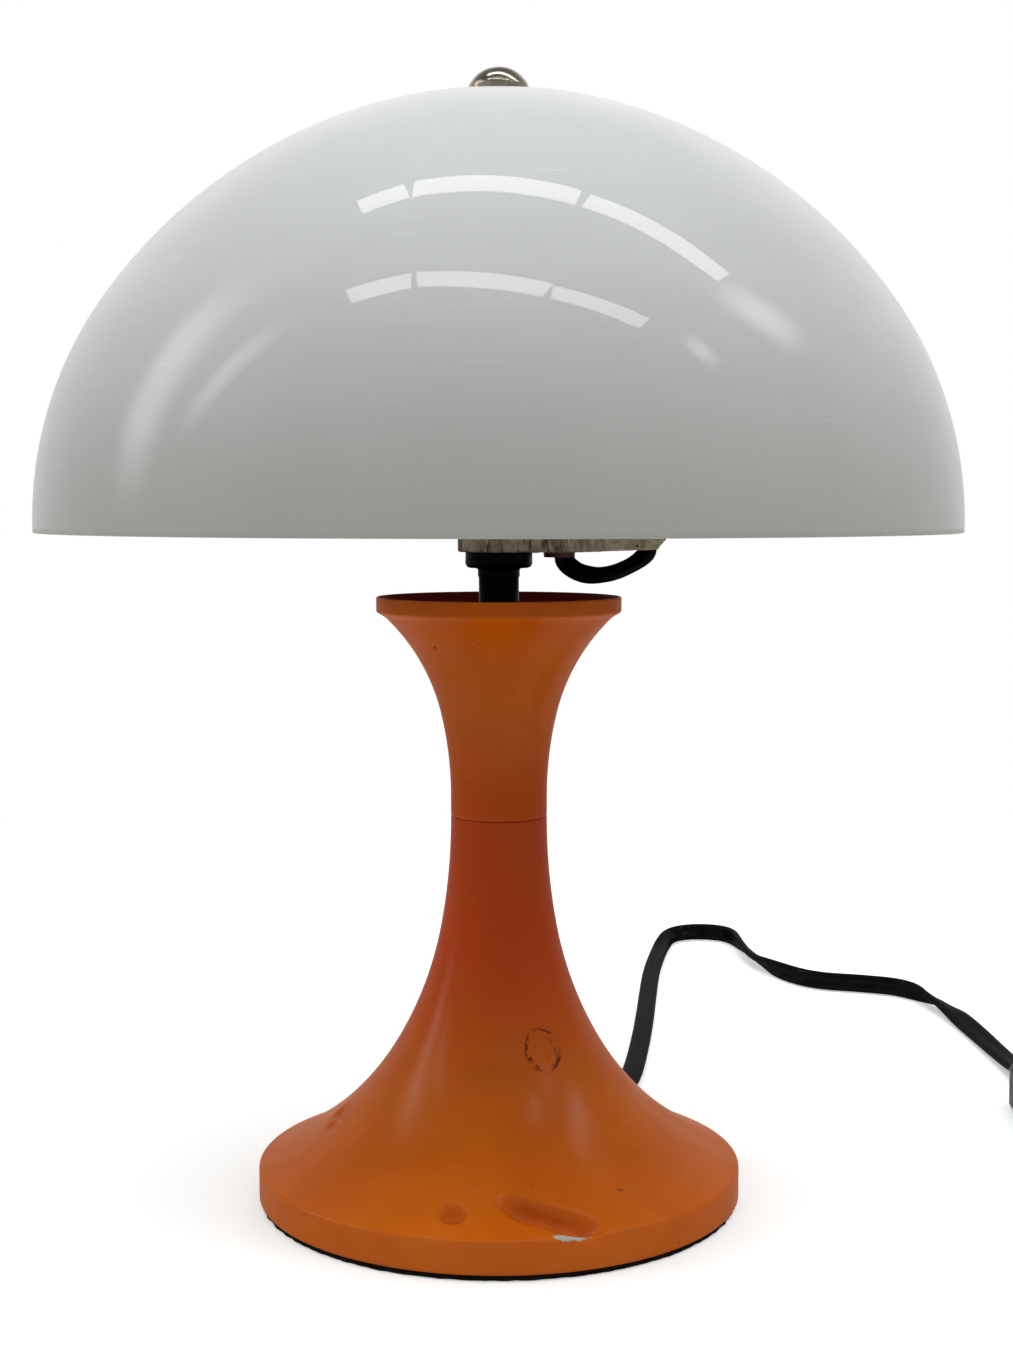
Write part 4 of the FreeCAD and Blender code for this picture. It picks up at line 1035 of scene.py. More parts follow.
# ---------------------------------------------------------------------------
# Geometry trees
# ---------------------------------------------------------------------------
class Repeater:
    """Geometry trees for what repeats: each is built once, given its sizes, and turned into plain mesh."""

    def __init__(self, name: str, inputs: dict[str, Feed]) -> None:
        """Start a tree.

        Args:
            name: The tree's name.
            inputs: Value of each input, by its name.
        """
        self.name = name
        self.tree = bpy.data.node_groups.new(name, "GeometryNodeTree")
        self.values: dict[str, Feed] = {}
        for label, value in inputs.items():
            socket = self.tree.interface.new_socket(name=label, in_out="INPUT", socket_type=socket_kind(value))
            self.values[socket.identifier] = value
        self.tree.interface.new_socket(name="Geometry", in_out="OUTPUT", socket_type="NodeSocketGeometry")
        self.wires = Wiring(self.tree)
        self.given = self.wires.add("NodeGroupInput").outputs

    def on_points(self, points: bpy.types.Node, instance: bpy.types.Node, **inputs: Feed) -> Socket:
        """Put a node's form on every point of another, and give the instances."""
        given = {"Points": points.outputs[0], "Instance": instance.outputs[0], **inputs}
        return self.wires.add("GeometryNodeInstanceOnPoints", given).outputs[0]

    def moved(self, instances: Socket, shift: Socket) -> Socket:
        """Move all the instances, and give them."""
        given = {"Instances": instances, "Translation": shift, "Local Space": False}
        return self.wires.add("GeometryNodeTranslateInstances", given).outputs[0]

    def mesh(self, instances: Socket, finish: Finish) -> bpy.types.Object:
        """End the tree with Realize Instances and Set Material, and make the piece.

        Args:
            instances: The socket that holds the instances.
            finish: The finish that the tree sets.

        Returns:
            The piece, as plain mesh.
        """
        real = self.wires.add("GeometryNodeRealizeInstances", {"Geometry": instances}).outputs[0]
        finished = self.wires.add("GeometryNodeSetMaterial", {"Geometry": real, "Material": finish.material()})
        self.wires.add("NodeGroupOutput", {"Geometry": finished.outputs[0]})
        piece = added(self.name, bpy.data.meshes.new(self.name))
        modifier = piece.modifiers.new(self.name, "NODES")
        modifier.node_group = self.tree
        for identifier, value in self.values.items():
            modifier[identifier] = value
        return settled(piece)


def ring_stack(
    name: str, finish: Finish, radius: float, depth: float, pitch: float, low: float, high: float,
    centre: Pair = (0.0, 0.0), sides: int = 40,
) -> bpy.types.Object:
    """Thread ridges or turned beads: rings of three-sided section at an even pitch up an axis.

    Args:
        name: Name of the piece.
        finish: Its finish.
        radius: Outer radius of the ridges.
        depth: How far they stand out of the core.
        pitch: Distance from ridge to ridge.
        low: Height of the lowest ridge.
        high: Height of the highest.
        centre: Where the axis stands.
        sides: Steps round each ring.

    Returns:
        The piece.
    """
    tree = Repeater(
        name,
        {"Ring Radius": (radius - depth / 2) * MM, "Ridge Depth": depth * MM, "Pitch": (0.0, 0.0, pitch * MM),
         "Count": int((high - low) / pitch) + 1, "Start": (centre[0] * MM, centre[1] * MM, low * MM)},
    )
    wires, given = tree.wires, tree.given
    circle, section = (
        wires.add("GeometryNodeCurvePrimitiveCircle", {"Resolution": steps, "Radius": given[size]}, mode="RADIUS")
        for steps, size in ((sides, "Ring Radius"), (4, "Ridge Depth"))
    )
    ring = wires.add("GeometryNodeCurveToMesh", {"Curve": circle.outputs[0], "Profile Curve": section.outputs[0]})
    line = wires.add(
        "GeometryNodeMeshLine",
        {"Count": given["Count"], "Start Location": given["Start"], "Offset": given["Pitch"]},
        mode="OFFSET",
    )
    return tree.mesh(tree.on_points(line, ring), finish)


def rib_ring(
    name: str, finish: Finish, count: int, radius: float, size: Triple, height: float, centre: Pair
) -> bpy.types.Object:
    """Upright grip ribs round a turned piece.

    Args:
        name: Name of the piece.
        finish: Its finish.
        count: How many ribs.
        radius: Radius that the ribs' middles stand on.
        size: Each rib's size inwards, around and up.
        height: Height of the ribs' middles.
        centre: Where the axis stands.

    Returns:
        The piece.
    """
    tree = Repeater(
        name,
        {"Ribs": count, "Ring Radius": radius * MM, "Rib Size": tuple(v * MM for v in size),
         "Place": (centre[0] * MM, centre[1] * MM, height * MM)},
    )
    wires, given = tree.wires, tree.given
    circle = wires.add("GeometryNodeMeshCircle", {"Vertices": given["Ribs"], "Radius": given["Ring Radius"]})
    rib = wires.add("GeometryNodeMeshCube", {"Size": given["Rib Size"]})
    place = wires.add("GeometryNodeInputPosition").outputs[0]
    facing = wires.add("FunctionNodeAlignRotationToVector", {"Vector": place}, axis="X").outputs[0]
    return tree.mesh(tree.moved(tree.on_points(circle, rib, Rotation=facing), given["Place"]), finish)


# ---------------------------------------------------------------------------
# Studio
# ---------------------------------------------------------------------------
@dataclass(frozen=True)
class Lamp:
    """A flat lamp hung between two points, in millimetres, whose radiance of 1 is white."""

    name: str
    start: Triple
    end: Triple
    width: float
    radiance: float
    soft: bool = True


STRIP_RADIANCE, REAR_WIDE, FRONT_WIDE = 8.5, 225.75, 279.5
STUDIO_LAMPS = (
    Lamp("strip_rear_0", (-831, 366, 2400), (-537, 377, 2400), REAR_WIDE, STRIP_RADIANCE, False),
    Lamp("strip_rear_1", (-491, 376, 2400), (471, 247, 2400), REAR_WIDE, STRIP_RADIANCE, False),
    Lamp("strip_rear_2", (517, 241, 2400), (1554, 109, 2400), REAR_WIDE, STRIP_RADIANCE, False),
    Lamp("strip_front_0", (-1170, -761, 2400), (-658, -763, 2400), FRONT_WIDE, STRIP_RADIANCE, False),
    Lamp("strip_front_1", (-608, -766, 2400), (378, -990, 2400), FRONT_WIDE, STRIP_RADIANCE, False),
    Lamp("strip_front_2", (428, -1002, 2400), (1254, -1171, 2400), FRONT_WIDE, STRIP_RADIANCE, False),
    Lamp("window_left", (-6800, 800, 2400), (-1850, 330, 2400), 1700.0, 4.2),
    Lamp("window_left_low", (-4600, -880, 2400), (-1950, -680, 2400), 800.0, 3.8),
    Lamp("window_right", (1650, -180, 2400), (2950, 120, 2400), 1000.0, 5.5),
    Lamp("window_right_low", (1850, -1130, 2400), (2450, -1330, 2400), 480.0, 5.5),
    Lamp("window_side", (2600, -1200, 1100), (2600, -600, 1100), 1200.0, 12.0),
    Lamp("fill_front", (-900, -2600, 1500), (900, -2600, 1500), 1200.0, 0.9),
)


@dataclass
class Studio:
    """Camera at the photograph's place, a pale floor, and soft light with two rows of strips overhead.

    Each span of heights, sides or depths is a share of the way that the light comes from, and each span on the floor
    is a distance from the lamp in metres.
    """

    camera_place: Triple = (2.1, -558.0, 193.0)
    camera_tip: float = 85.22
    focal: float = 54.13
    sensor: float = 36.0
    floor_half: float = 7000.0
    floor_drop: float = 0.05
    floor_seen: float = 0.86
    floor_glow: float = 0.40
    floor_whitens: Pair = (0.22, 0.75)
    floor_mirrored: float = 0.6
    floor_near: Colour = (0.66, 0.63, 0.56)
    floor_far: Colour = (0.10, 0.095, 0.085)
    floor_darkens: Pair = (0.14, 0.6)
    sky: Pair = (0.23, 1.05)
    sky_heights: Pair = (0.28, 1.0)
    sky_sides: Pair = (0.86, 1.22)
    warm: Colour = (1.0, 0.965, 0.88)
    cool: Colour = (0.92, 0.975, 1.0)
    mirrored_sides: float = 0.5
    mirrored_depths: Pair = (0.35, 0.85)
    mirrored_top: float = 0.25
    mirrored_heights: Pair = (0.38, 0.9)
    aim_height: float = 230.0
    lamp_fade: Pair = (0.08, 0.5)

    def camera(self) -> None:
        """Set the camera."""
        lens = bpy.data.cameras.new("camera")
        lens.sensor_fit = "AUTO"
        lens.sensor_width = self.sensor
        lens.lens = self.focal
        lens.clip_start = 0.01
        lens.clip_end = 50.0
        view = added("camera", lens)
        view.location = tuple(v * MM for v in self.camera_place)
        view.rotation_euler = (math.radians(self.camera_tip), 0.0, 0.0)
        bpy.context.scene.camera = view

    def seen(self, wires: Wiring, glossy: float) -> Socket:
        """Give 1 where a ray comes from the camera or a transmission, and a share of 1 from a reflection.

        Args:
            wires: The material's wiring.
            glossy: Share for a reflected ray.

        Returns:
            The share's output.
        """
        path = wires.add("ShaderNodeLightPath").outputs
        plain = wires.value("MAXIMUM", path["Is Camera Ray"], path["Is Transmission Ray"])
        return wires.value("MAXIMUM", plain, wires.times(path["Is Glossy Ray"], glossy))

    def floor(self) -> None:
        """Lay the floor: pale where it is seen, and as a source of light pale near the lamp and darker away from it."""
        half, low = self.floor_half, -self.floor_drop
        corners = np.array([(-half, -half, low), (half, -half, low), (half, half, low), (-half, half, low)], float)
        plane = new_piece("studio_floor", corners, [(0, 1, 2, 3)])
        made = bpy.data.materials.new("studio_floor")
        made.use_nodes = True
        made.node_tree.nodes.clear()
        wires = Wiring(made.node_tree)
        away = wires.vector("LENGTH", a=wires.add("ShaderNodeTexCoord").outputs["Object"])
        pale = wires.add("ShaderNodeBsdfDiffuse", {"Color": (self.floor_seen,) * 3})
        glow = wires.add("ShaderNodeEmission", {"Color": WHITE, "Strength": self.floor_glow})
        near = wires.add("ShaderNodeAddShader", {0: pale.outputs[0], 1: glow.outputs[0]})
        white = wires.add("ShaderNodeEmission", {"Color": WHITE, "Strength": 1.0})
        whitened = wires.span(away, *self.floor_whitens)
        bright = wires.add("ShaderNodeMixShader", {0: whitened, 1: near.outputs[0], 2: white.outputs[0]})
        darkened = wires.blend(wires.span(away, *self.floor_darkens), self.floor_near, self.floor_far)
        dim = wires.add("ShaderNodeBsdfDiffuse", {"Color": darkened})
        seen = self.seen(wires, self.floor_mirrored)
        both = wires.add("ShaderNodeMixShader", {0: seen, 1: dim.outputs[0], 2: bright.outputs[0]})
        wires.add("ShaderNodeOutputMaterial", {"Surface": both.outputs[0]})
        plane.data.materials.append(made)

    def world(self) -> None:
        """Light from all round: strongest overhead, and plain white where it is seen."""
        sky = bpy.data.worlds.new("studio")
        sky.use_nodes = True
        sky.node_tree.nodes.clear()
        bpy.context.scene.world = sky
        wires = Wiring(sky.node_tree)
        parts = wires.parts(wires.add("ShaderNodeTexCoord").outputs["Generated"])
        height = wires.span(parts["Z"], *self.sky_heights)
        light = wires.times(wires.span(height, 0.0, 1.0, *self.sky), wires.span(parts["X"], -1.0, 1.0, *self.sky_sides))
        behind = wires.span(parts["Y"], *self.mirrored_depths, self.mirrored_sides, 1.0)
        mirrored = wires.times(behind, wires.span(parts["Z"], *self.mirrored_heights, 1.0, self.mirrored_top))
        shown = wires.mix(wires.add("ShaderNodeLightPath").outputs["Is Glossy Ray"], 1.0, mirrored)
        seen = self.seen(wires, 1.0)
        colour = wires.blend(seen, wires.blend(height, self.warm, self.cool), WHITE)
        background = wires.add("ShaderNodeBackground", {"Color": colour, "Strength": wires.mix(seen, light, shown)})
        wires.add("ShaderNodeOutputWorld", {"Surface": background.outputs[0]})

    def hang(self, lamp: Lamp) -> None:
        """Hang a lamp, with its face towards the dome.

        Args:
            lamp: The lamp. A soft one fades towards its edges.
        """
        first, last = Vector(lamp.start) * MM, Vector(lamp.end) * MM
        centre = (first + last) / 2
        down = (Vector((0.0, 0.0, self.aim_height * MM)) - centre).normalized()
        across = down.cross(last - first).normalized()
        along = across.cross(down).normalized()
        light = bpy.data.lights.new(lamp.name, "AREA")
        light.shape = "RECTANGLE"
        light.size = (last - first).length
        light.size_y = lamp.width * MM
        light.energy = lamp.radiance * math.pi * light.size * light.size_y
        if lamp.soft:
            light.use_nodes = True
            light.node_tree.nodes.clear()
            wires = Wiring(light.node_tree)
            flat = wires.parts(wires.add("ShaderNodeNewGeometry").outputs["Parametric"])
            sides = [
                wires.span(wires.value("ABSOLUTE", wires.less(flat[axis], 0.5)), *self.lamp_fade, 1.0, 0.0)
                for axis in ("X", "Y")
            ]
            glow = wires.add("ShaderNodeEmission", {"Strength": wires.times(*sides)})
            wires.add("ShaderNodeOutputLight", {"Surface": glow.outputs[0]})
        item = added(lamp.name, light)
        item.location = centre
        item.rotation_euler = Matrix((along, across, -down)).transposed().to_euler()

    def build(self) -> None:
        """Set up all of it."""
        self.camera()
        self.world()
        self.floor()
        for lamp in STUDIO_LAMPS:
            self.hang(lamp)
        bpy.context.scene.view_settings.view_transform = "Standard"


# ---------------------------------------------------------------------------
# Cords
# ---------------------------------------------------------------------------
def spline_points(name: str, controls: Sequence[Triple], resolution: int) -> list[Vector]:
    """Read a route's own NURBS line.

    Args:
        name: Name of the passing curve.
        controls: Control points in millimetres.
        resolution: Points for each control point.

    Returns:
        Points along the line, in metres.
    """
    curve = bpy.data.curves.new(name, "CURVE")
    curve.dimensions = "3D"
    spline = curve.splines.new("NURBS")
    spline.points.add(len(controls) - 1)
    for point, place in zip(spline.points, controls):
        point.co = (*(v * MM for v in place), 1.0)
    spline.order_u = 3
    spline.use_endpoint_u = True
    spline.resolution_u = resolution
    holder = added(name, curve)
    graph = bpy.context.evaluated_depsgraph_get()
    mesh = bpy.data.meshes.new_from_object(holder.evaluated_get(graph))
    points = [vertex.co.copy() for vertex in mesh.vertices]
    bpy.data.objects.remove(holder)
    bpy.data.meshes.remove(mesh)
    bpy.data.curves.remove(curve)
    return points


def way_lengths(path: Sequence[Vector]) -> list[float]:
    """Measure how far along a path each of its points is.

    Args:
        path: Points in order.

    Returns:
        The distances, in the points' own unit.
    """
    lengths = [0.0]
    for before, after in zip(path, path[1:]):
        lengths.append(lengths[-1] + (after - before).length)
    return lengths


@dataclass(frozen=True)
class FlatSection:
    """Section of the flat twin cord: two round cores side by side, with a shallow groove between them."""

    wide: float = 7.0
    thick: float = 3.0
    groove: float = 0.42
    groove_wide: float = 0.75
    round_from: float = 1.55
    steps: int = 40

    def points(self, extra: float = 0.0) -> list[Pair]:
        """Outline across and up, in millimetres.

        Args:
            extra: How far the outline stands off the cord, for what sleeves it.

        Returns:
            The section's points in order.
        """
        half = self.thick / 2 + extra
        flat = self.wide / 2 + extra - half
        result = []
        for step in range(self.steps):
            angle = 2 * math.pi * (step + 0.5) / self.steps
            across, up = math.cos(angle), math.sin(angle)
            reach = flat * max(-1.0, min(1.0, across * self.round_from))
            x, y = reach + half * across, half * up
            y = math.copysign(min(abs(y), half), y)
            lobes = 1 - self.groove / half * math.exp(-((x / self.groove_wide) ** 2))
            result.append((x, y * lobes))
        return result


def swept(
    name: str,
    path: Sequence[Vector],
    twist: ByShare,
    section: FlatSection,
    side: Optional[Triple] = None,
    swell: Optional[ByShare] = None,
) -> bpy.types.Object:
    """Sweep the flat section along a path.

    Args:
        name: Name of the piece.
        path: Points in metres.
        twist: Angle in degrees that the wide side is turned about the path, by share of the length.
        section: The section.
        side: Where the wide side points before it is turned. Without it, the section lies flat.
        swell: How far the section stands off the cord, by share of the length.

    Returns:
        The swept piece.
    """
    lengths = way_lengths(path)
    places = []
    for number, here in enumerate(path):
        along = (path[min(number + 1, len(path) - 1)] - path[max(number - 1, 0)]).normalized()
        across = Vector((0, 0, 1)).cross(along) if side is None else Vector(side) - along * along.dot(Vector(side))
        across.normalize()
        share = lengths[number] / lengths[-1]
        across = Quaternion(along, math.radians(twist(share))) @ across
        up = along.cross(across)
        outline = section.points(swell(share) if swell else 0.0)
        places.extend(here / MM + across * x + up * y for x, y in outline)
    count = section.steps
    faces = []
    for row in range(len(path) - 1):
        for side in range(count):
            after = (side + 1) % count
            faces.append((row * count + side, row * count + after, (row + 1) * count + after, (row + 1) * count + side))
    faces.append(tuple(range(count))[::-1])
    last = (len(path) - 1) * count
    faces.append(tuple(last + side for side in range(count)))
    return new_piece(name, np.array([tuple(place) for place in places]), faces, 60.0)


def eased_between(stops: Sequence[Pair]) -> ByShare:
    """Make a smooth function through share and value pairs.

    Args:
        stops: Shares from 0 to 1, each with its value.

    Returns:
        The function.
    """

    def value(share: float) -> float:
        """Ease from one stop to the next.

        Args:
            share: Share from 0 to 1.

        Returns:
            The value there.
        """
        for (low, first), (high, last) in zip(stops, stops[1:]):
            if share <= high:
                part = max(0.0, (share - low) / (high - low))
                return first + (last - first) * part * part * (3 - 2 * part)
        return stops[-1][1]

    return value


@dataclass
class MainsCord:
    """Flat cord from the foot to the switch, and on to a tied coil and the plug."""

    section: FlatSection = field(default_factory=FlatSection)
    lamp_way: tuple[Triple, ...] = (
        (27.81, 62.46, 5.6), (36.33, 81.6, 3.9), (43.2, 103, 2.5), (48.6, 143, 1.75), (53.4, 184, 1.7),
        (57.4, 224, 1.7), (61.4, 262, 1.9), (65.8, 290, 2.4), (69.4, 308.5, 3.1), (73.7, 326.2, 3.6),
        (82.1, 332.8, 3.85), (92.8, 332.6, 3.9), (101, 325.7, 3.95), (103.6, 307, 3.9), (106.4, 282, 3.3),
        (112.6, 259, 3.7), (124.6, 240, 3.8), (143, 235.2, 3.8), (159.4, 228, 3.8), (168.4, 206, 3.3),
        (172.4, 167, 2.5), (174.6, 128, 2.4), (175, 108, 4.4), (174.82, 97, 6.6), (174.63, 86.55, 6.6),
    )
    lamp_twist: tuple[Pair, ...] = (
        (0.0, 0.0), (0.05, 20.0), (0.14, 2.0), (0.42, 2.0), (0.47, 50.0), (0.52, 84.0), (0.60, 147.0), (0.665, 84.0),
        (0.745, 82.0), (0.79, 155.0), (0.84, 204.0), (0.93, 182.0), (1.0, 180.0),
    )
    coil_lead: tuple[Triple, ...] = ((173.58, 26.45, 6.6), (173.44, 18.5, 6.6), (172.75, 10.5, 5.4), (170.7, 3.2, 4.2))
    plug_lead: tuple[Triple, ...] = ((230.2, -5.8, 9.6), (231.0, 4.5, 8.2), (231.82, 15.0, 7.05), (232.2, 25.95, 7.05))
    coil_centre: Pair = (195.9, -28.65)
    coil_columns: Triple = (36.55, 33.5, 30.45)
    coil_layers: Pair = (4.1, 11.2)
    column_stops: tuple[tuple[float, int], ...] = (
        (0, 0), (360, 0), (410, 1), (720, 1), (770, 2), (1440, 2), (1490, 1), (1800, 1), (1850, 0), (2400, 0),
    )
    layer_stops: tuple[tuple[float, int], ...] = ((0, 0), (1130, 0), (1195, 1), (2400, 1))
    turn_points: int = 14
    first_angle: float = 140.0
    last_angle: float = 2170.0
    flat_first: float = 20.0
    flat_last: float = 28.0
    relief_reach: float = 24.0
    relief_step: float = 0.3
    relief_thick: float = 1.5
    relief_tip: float = 0.45
    relief_rounded: float = 0.97
    rib_pitch: float = 2.4
    rib_deep: float = 0.3
    ribbed: Pair = (0.12, 0.92)
    tie_azimuth: float = -96.0
    tie_wide: float = 9.0
    tie_thick: float = 0.45
    tie_laps: float = 1.24
    tie_from: float = 70.0
    tie_lifts: Pair = (0.93, 1.0)
    tie_square: float = 0.36
    tie_steps: int = 150

    def coil_place(self, angle: float) -> Triple:
        """Place on the coil's winding.

        Args:
            angle: Degrees wound, where each column or layer changes at its own angle.

        Returns:
            The control point, in millimetres.
        """
        radius = eased_between([(stop, self.coil_columns[column]) for stop, column in self.column_stops])(angle)
        height = eased_between([(stop, self.coil_layers[layer]) for stop, layer in self.layer_stops])(angle)
        # The spline cuts inside its control points, so they stand further out than the turns.
        radius /= 1 - 0.25 * (1 - math.cos(2 * math.pi / self.turn_points))
        turn = math.radians(angle)
        return (self.coil_centre[0] + radius * math.cos(turn), self.coil_centre[1] + radius * math.sin(turn), height)

    def relief(self, path: Sequence[Vector], twist: ByShare) -> bpy.types.Object:
        """Make a ribbed, tapered strain relief round the first stretch of a path.

        Args:
            path: Points in metres, from the housing outwards.
            twist: The cord's own twist over this stretch, in degrees by share.

        Returns:
            The relief.
        """
        lengths = [length / MM for length in way_lengths(path)]
        steps = round(self.relief_reach / self.relief_step)
        fine = []
        for step in range(steps + 1):
            far = self.relief_reach * step / steps
            fine.append(Vector([float(np.interp(far, lengths, [point[axis] for point in path])) for axis in range(3)]))

        def swell(share: float) -> float:
            """Taper, with ribs and a rounded end.

            Args:
                share: Share of the relief's length.

            Returns:
                How far it stands off the cord.
            """
            ribs = 0.0
            if self.ribbed[0] < share < self.ribbed[1]:
                ribs = self.rib_deep * (0.5 - 0.5 * math.cos(2 * math.pi * share * self.relief_reach / self.rib_pitch))
            past = max(0.0, share - self.relief_rounded) / (1 - self.relief_rounded)
            end = math.sqrt(max(0.0, 1 - past**2))
            taper = self.relief_thick * (1 - share) + self.relief_tip * share
            return (taper - ribs * (1 - 0.4 * share)) * (0.4 + 0.6 * end)

        return swept("foot_relief", fine, twist, FlatSection(self.section.wide, self.section.thick, 0.0), swell=swell)

    def tie(self) -> bpy.types.Object:
        """Make the strap that holds the coil's turns together.

        Returns:
            The strap, once round the turns and lapped over itself.
        """
        outer, _, inner = self.coil_columns
        side_gap, floor_gap, top_gap, lap_gap = 0.2, 0.05, 0.15, 0.08
        half_thick = self.section.thick / 2 + self.tie_thick / 2 + side_gap
        low = self.tie_thick / 2 + floor_gap
        high = self.coil_layers[1] + self.section.wide / 2 + self.tie_thick / 2 + top_gap
        middle, half = (outer + inner) / 2, ((outer - inner) / 2 + half_thick, (high - low) / 2)
        turn, up = math.radians(self.tie_azimuth), Vector((0.0, 0.0, 1.0))
        out, along = Vector((math.cos(turn), math.sin(turn), 0.0)), Vector((-math.sin(turn), math.cos(turn), 0.0))
        centre = Vector((*self.coil_centre, 0.0))
        rows, steps = [], self.tie_steps
        for step in range(steps + 1):
            angle = math.radians(self.tie_from) + 2 * math.pi * self.tie_laps * step / steps
            lapped = float(np.interp(step / steps * self.tie_laps, self.tie_lifts, (0.0, 1.0)))
            lift = (self.tie_thick + lap_gap) * lapped
            flat = [math.copysign(abs(value) ** self.tie_square, value) for value in (math.cos(angle), math.sin(angle))]
            rows.append(((half[0] + lift) * flat[0], (half[1] + min(lift, lift * (flat[1] + 1))) * flat[1]))
        places = []
        for (reach, rise), (run_out, run_up) in zip(rows, headings(np.array(rows))):
            spot = centre + out * (middle + reach) + up * ((low + high) / 2 + rise)
            normal = (out * run_up - up * run_out) * self.tie_thick / 2
            for shift, side in ((1, 1), (1, -1), (-1, -1), (-1, 1)):
                places.append(tuple(spot + normal * shift + along * side * self.tie_wide / 2))
        faces = [(3, 2, 1, 0), tuple(4 * steps + corner for corner in range(4))]
        for step in range(steps):
            for corner in range(4):
                here, after = 4 * step + corner, 4 * step + (corner + 1) % 4
                faces.append((here, after, after + 4, here + 4))
        return new_piece("coil_tie", np.array(places), faces)

    def to_switch(self) -> None:
        """Make the cord from the foot to the switch, with its strain relief."""
        path = spline_points("lamp_route", self.lamp_way, 8)
        twist = eased_between(self.lamp_twist)
        lead = swept("lamp_cord", path, twist, self.section)
        dressed(lead, Finishes.jacket, "cord_jacket", Body.STAND, "lamp_lead")
        length = way_lengths(path)[-1]
        share = self.relief_reach * MM / length
        relief = self.relief(path, lambda part: twist(part * share))
        dressed(relief, Finishes.rubber, "black_rubber", Body.STAND)

    def to_plug(self) -> None:
        """Make the cord from the switch to the plug, wound into its tied coil."""
        steps = round((self.last_angle - self.first_angle) / 360 * self.turn_points)
        angles = [self.first_angle + (self.last_angle - self.first_angle) * step / steps for step in range(steps + 1)]
        turns = [self.coil_place(angle) for angle in angles]
        path = spline_points("coil_route", [*self.coil_lead, *turns, *self.plug_lead], 5)
        length = way_lengths(path)[-1]
        start, end = self.flat_first * MM / length, 1 - self.flat_last * MM / length
        twist = eased_between([(0, 0), (start * 0.5, 0), (start * 1.9, 90), (end - 0.006, 90), (1 - 0.004, 0), (1, 0)])
        coil = swept("coil_cord", path, twist, self.section)
        dressed(coil, Finishes.jacket, "cord_jacket", Body.STAND, "coil_lead", "cord_coil", "plug_lead")
        tie = dressed(self.tie(), Finishes.tape, "black_rubber", Body.STAND)
        plug = Plug().build()

    def build(self) -> None:
        """Make both cords with what is on them, and say what they are."""
        self.to_switch()
        self.to_plug()


# ---------------------------------------------------------------------------
# Foot and bell
# ---------------------------------------------------------------------------
@dataclass(frozen=True)
class Dent:
    """A knock in the sheet: where it is, how long, how wide and how deep, in millimetres and degrees."""

    azimuth: float
    radius: float
    height: float
    half_long: float
    half_wide: float
    depth: float
    tilt: float = 0.0
    rim: float = 0.12
    crisp: float = 1.0


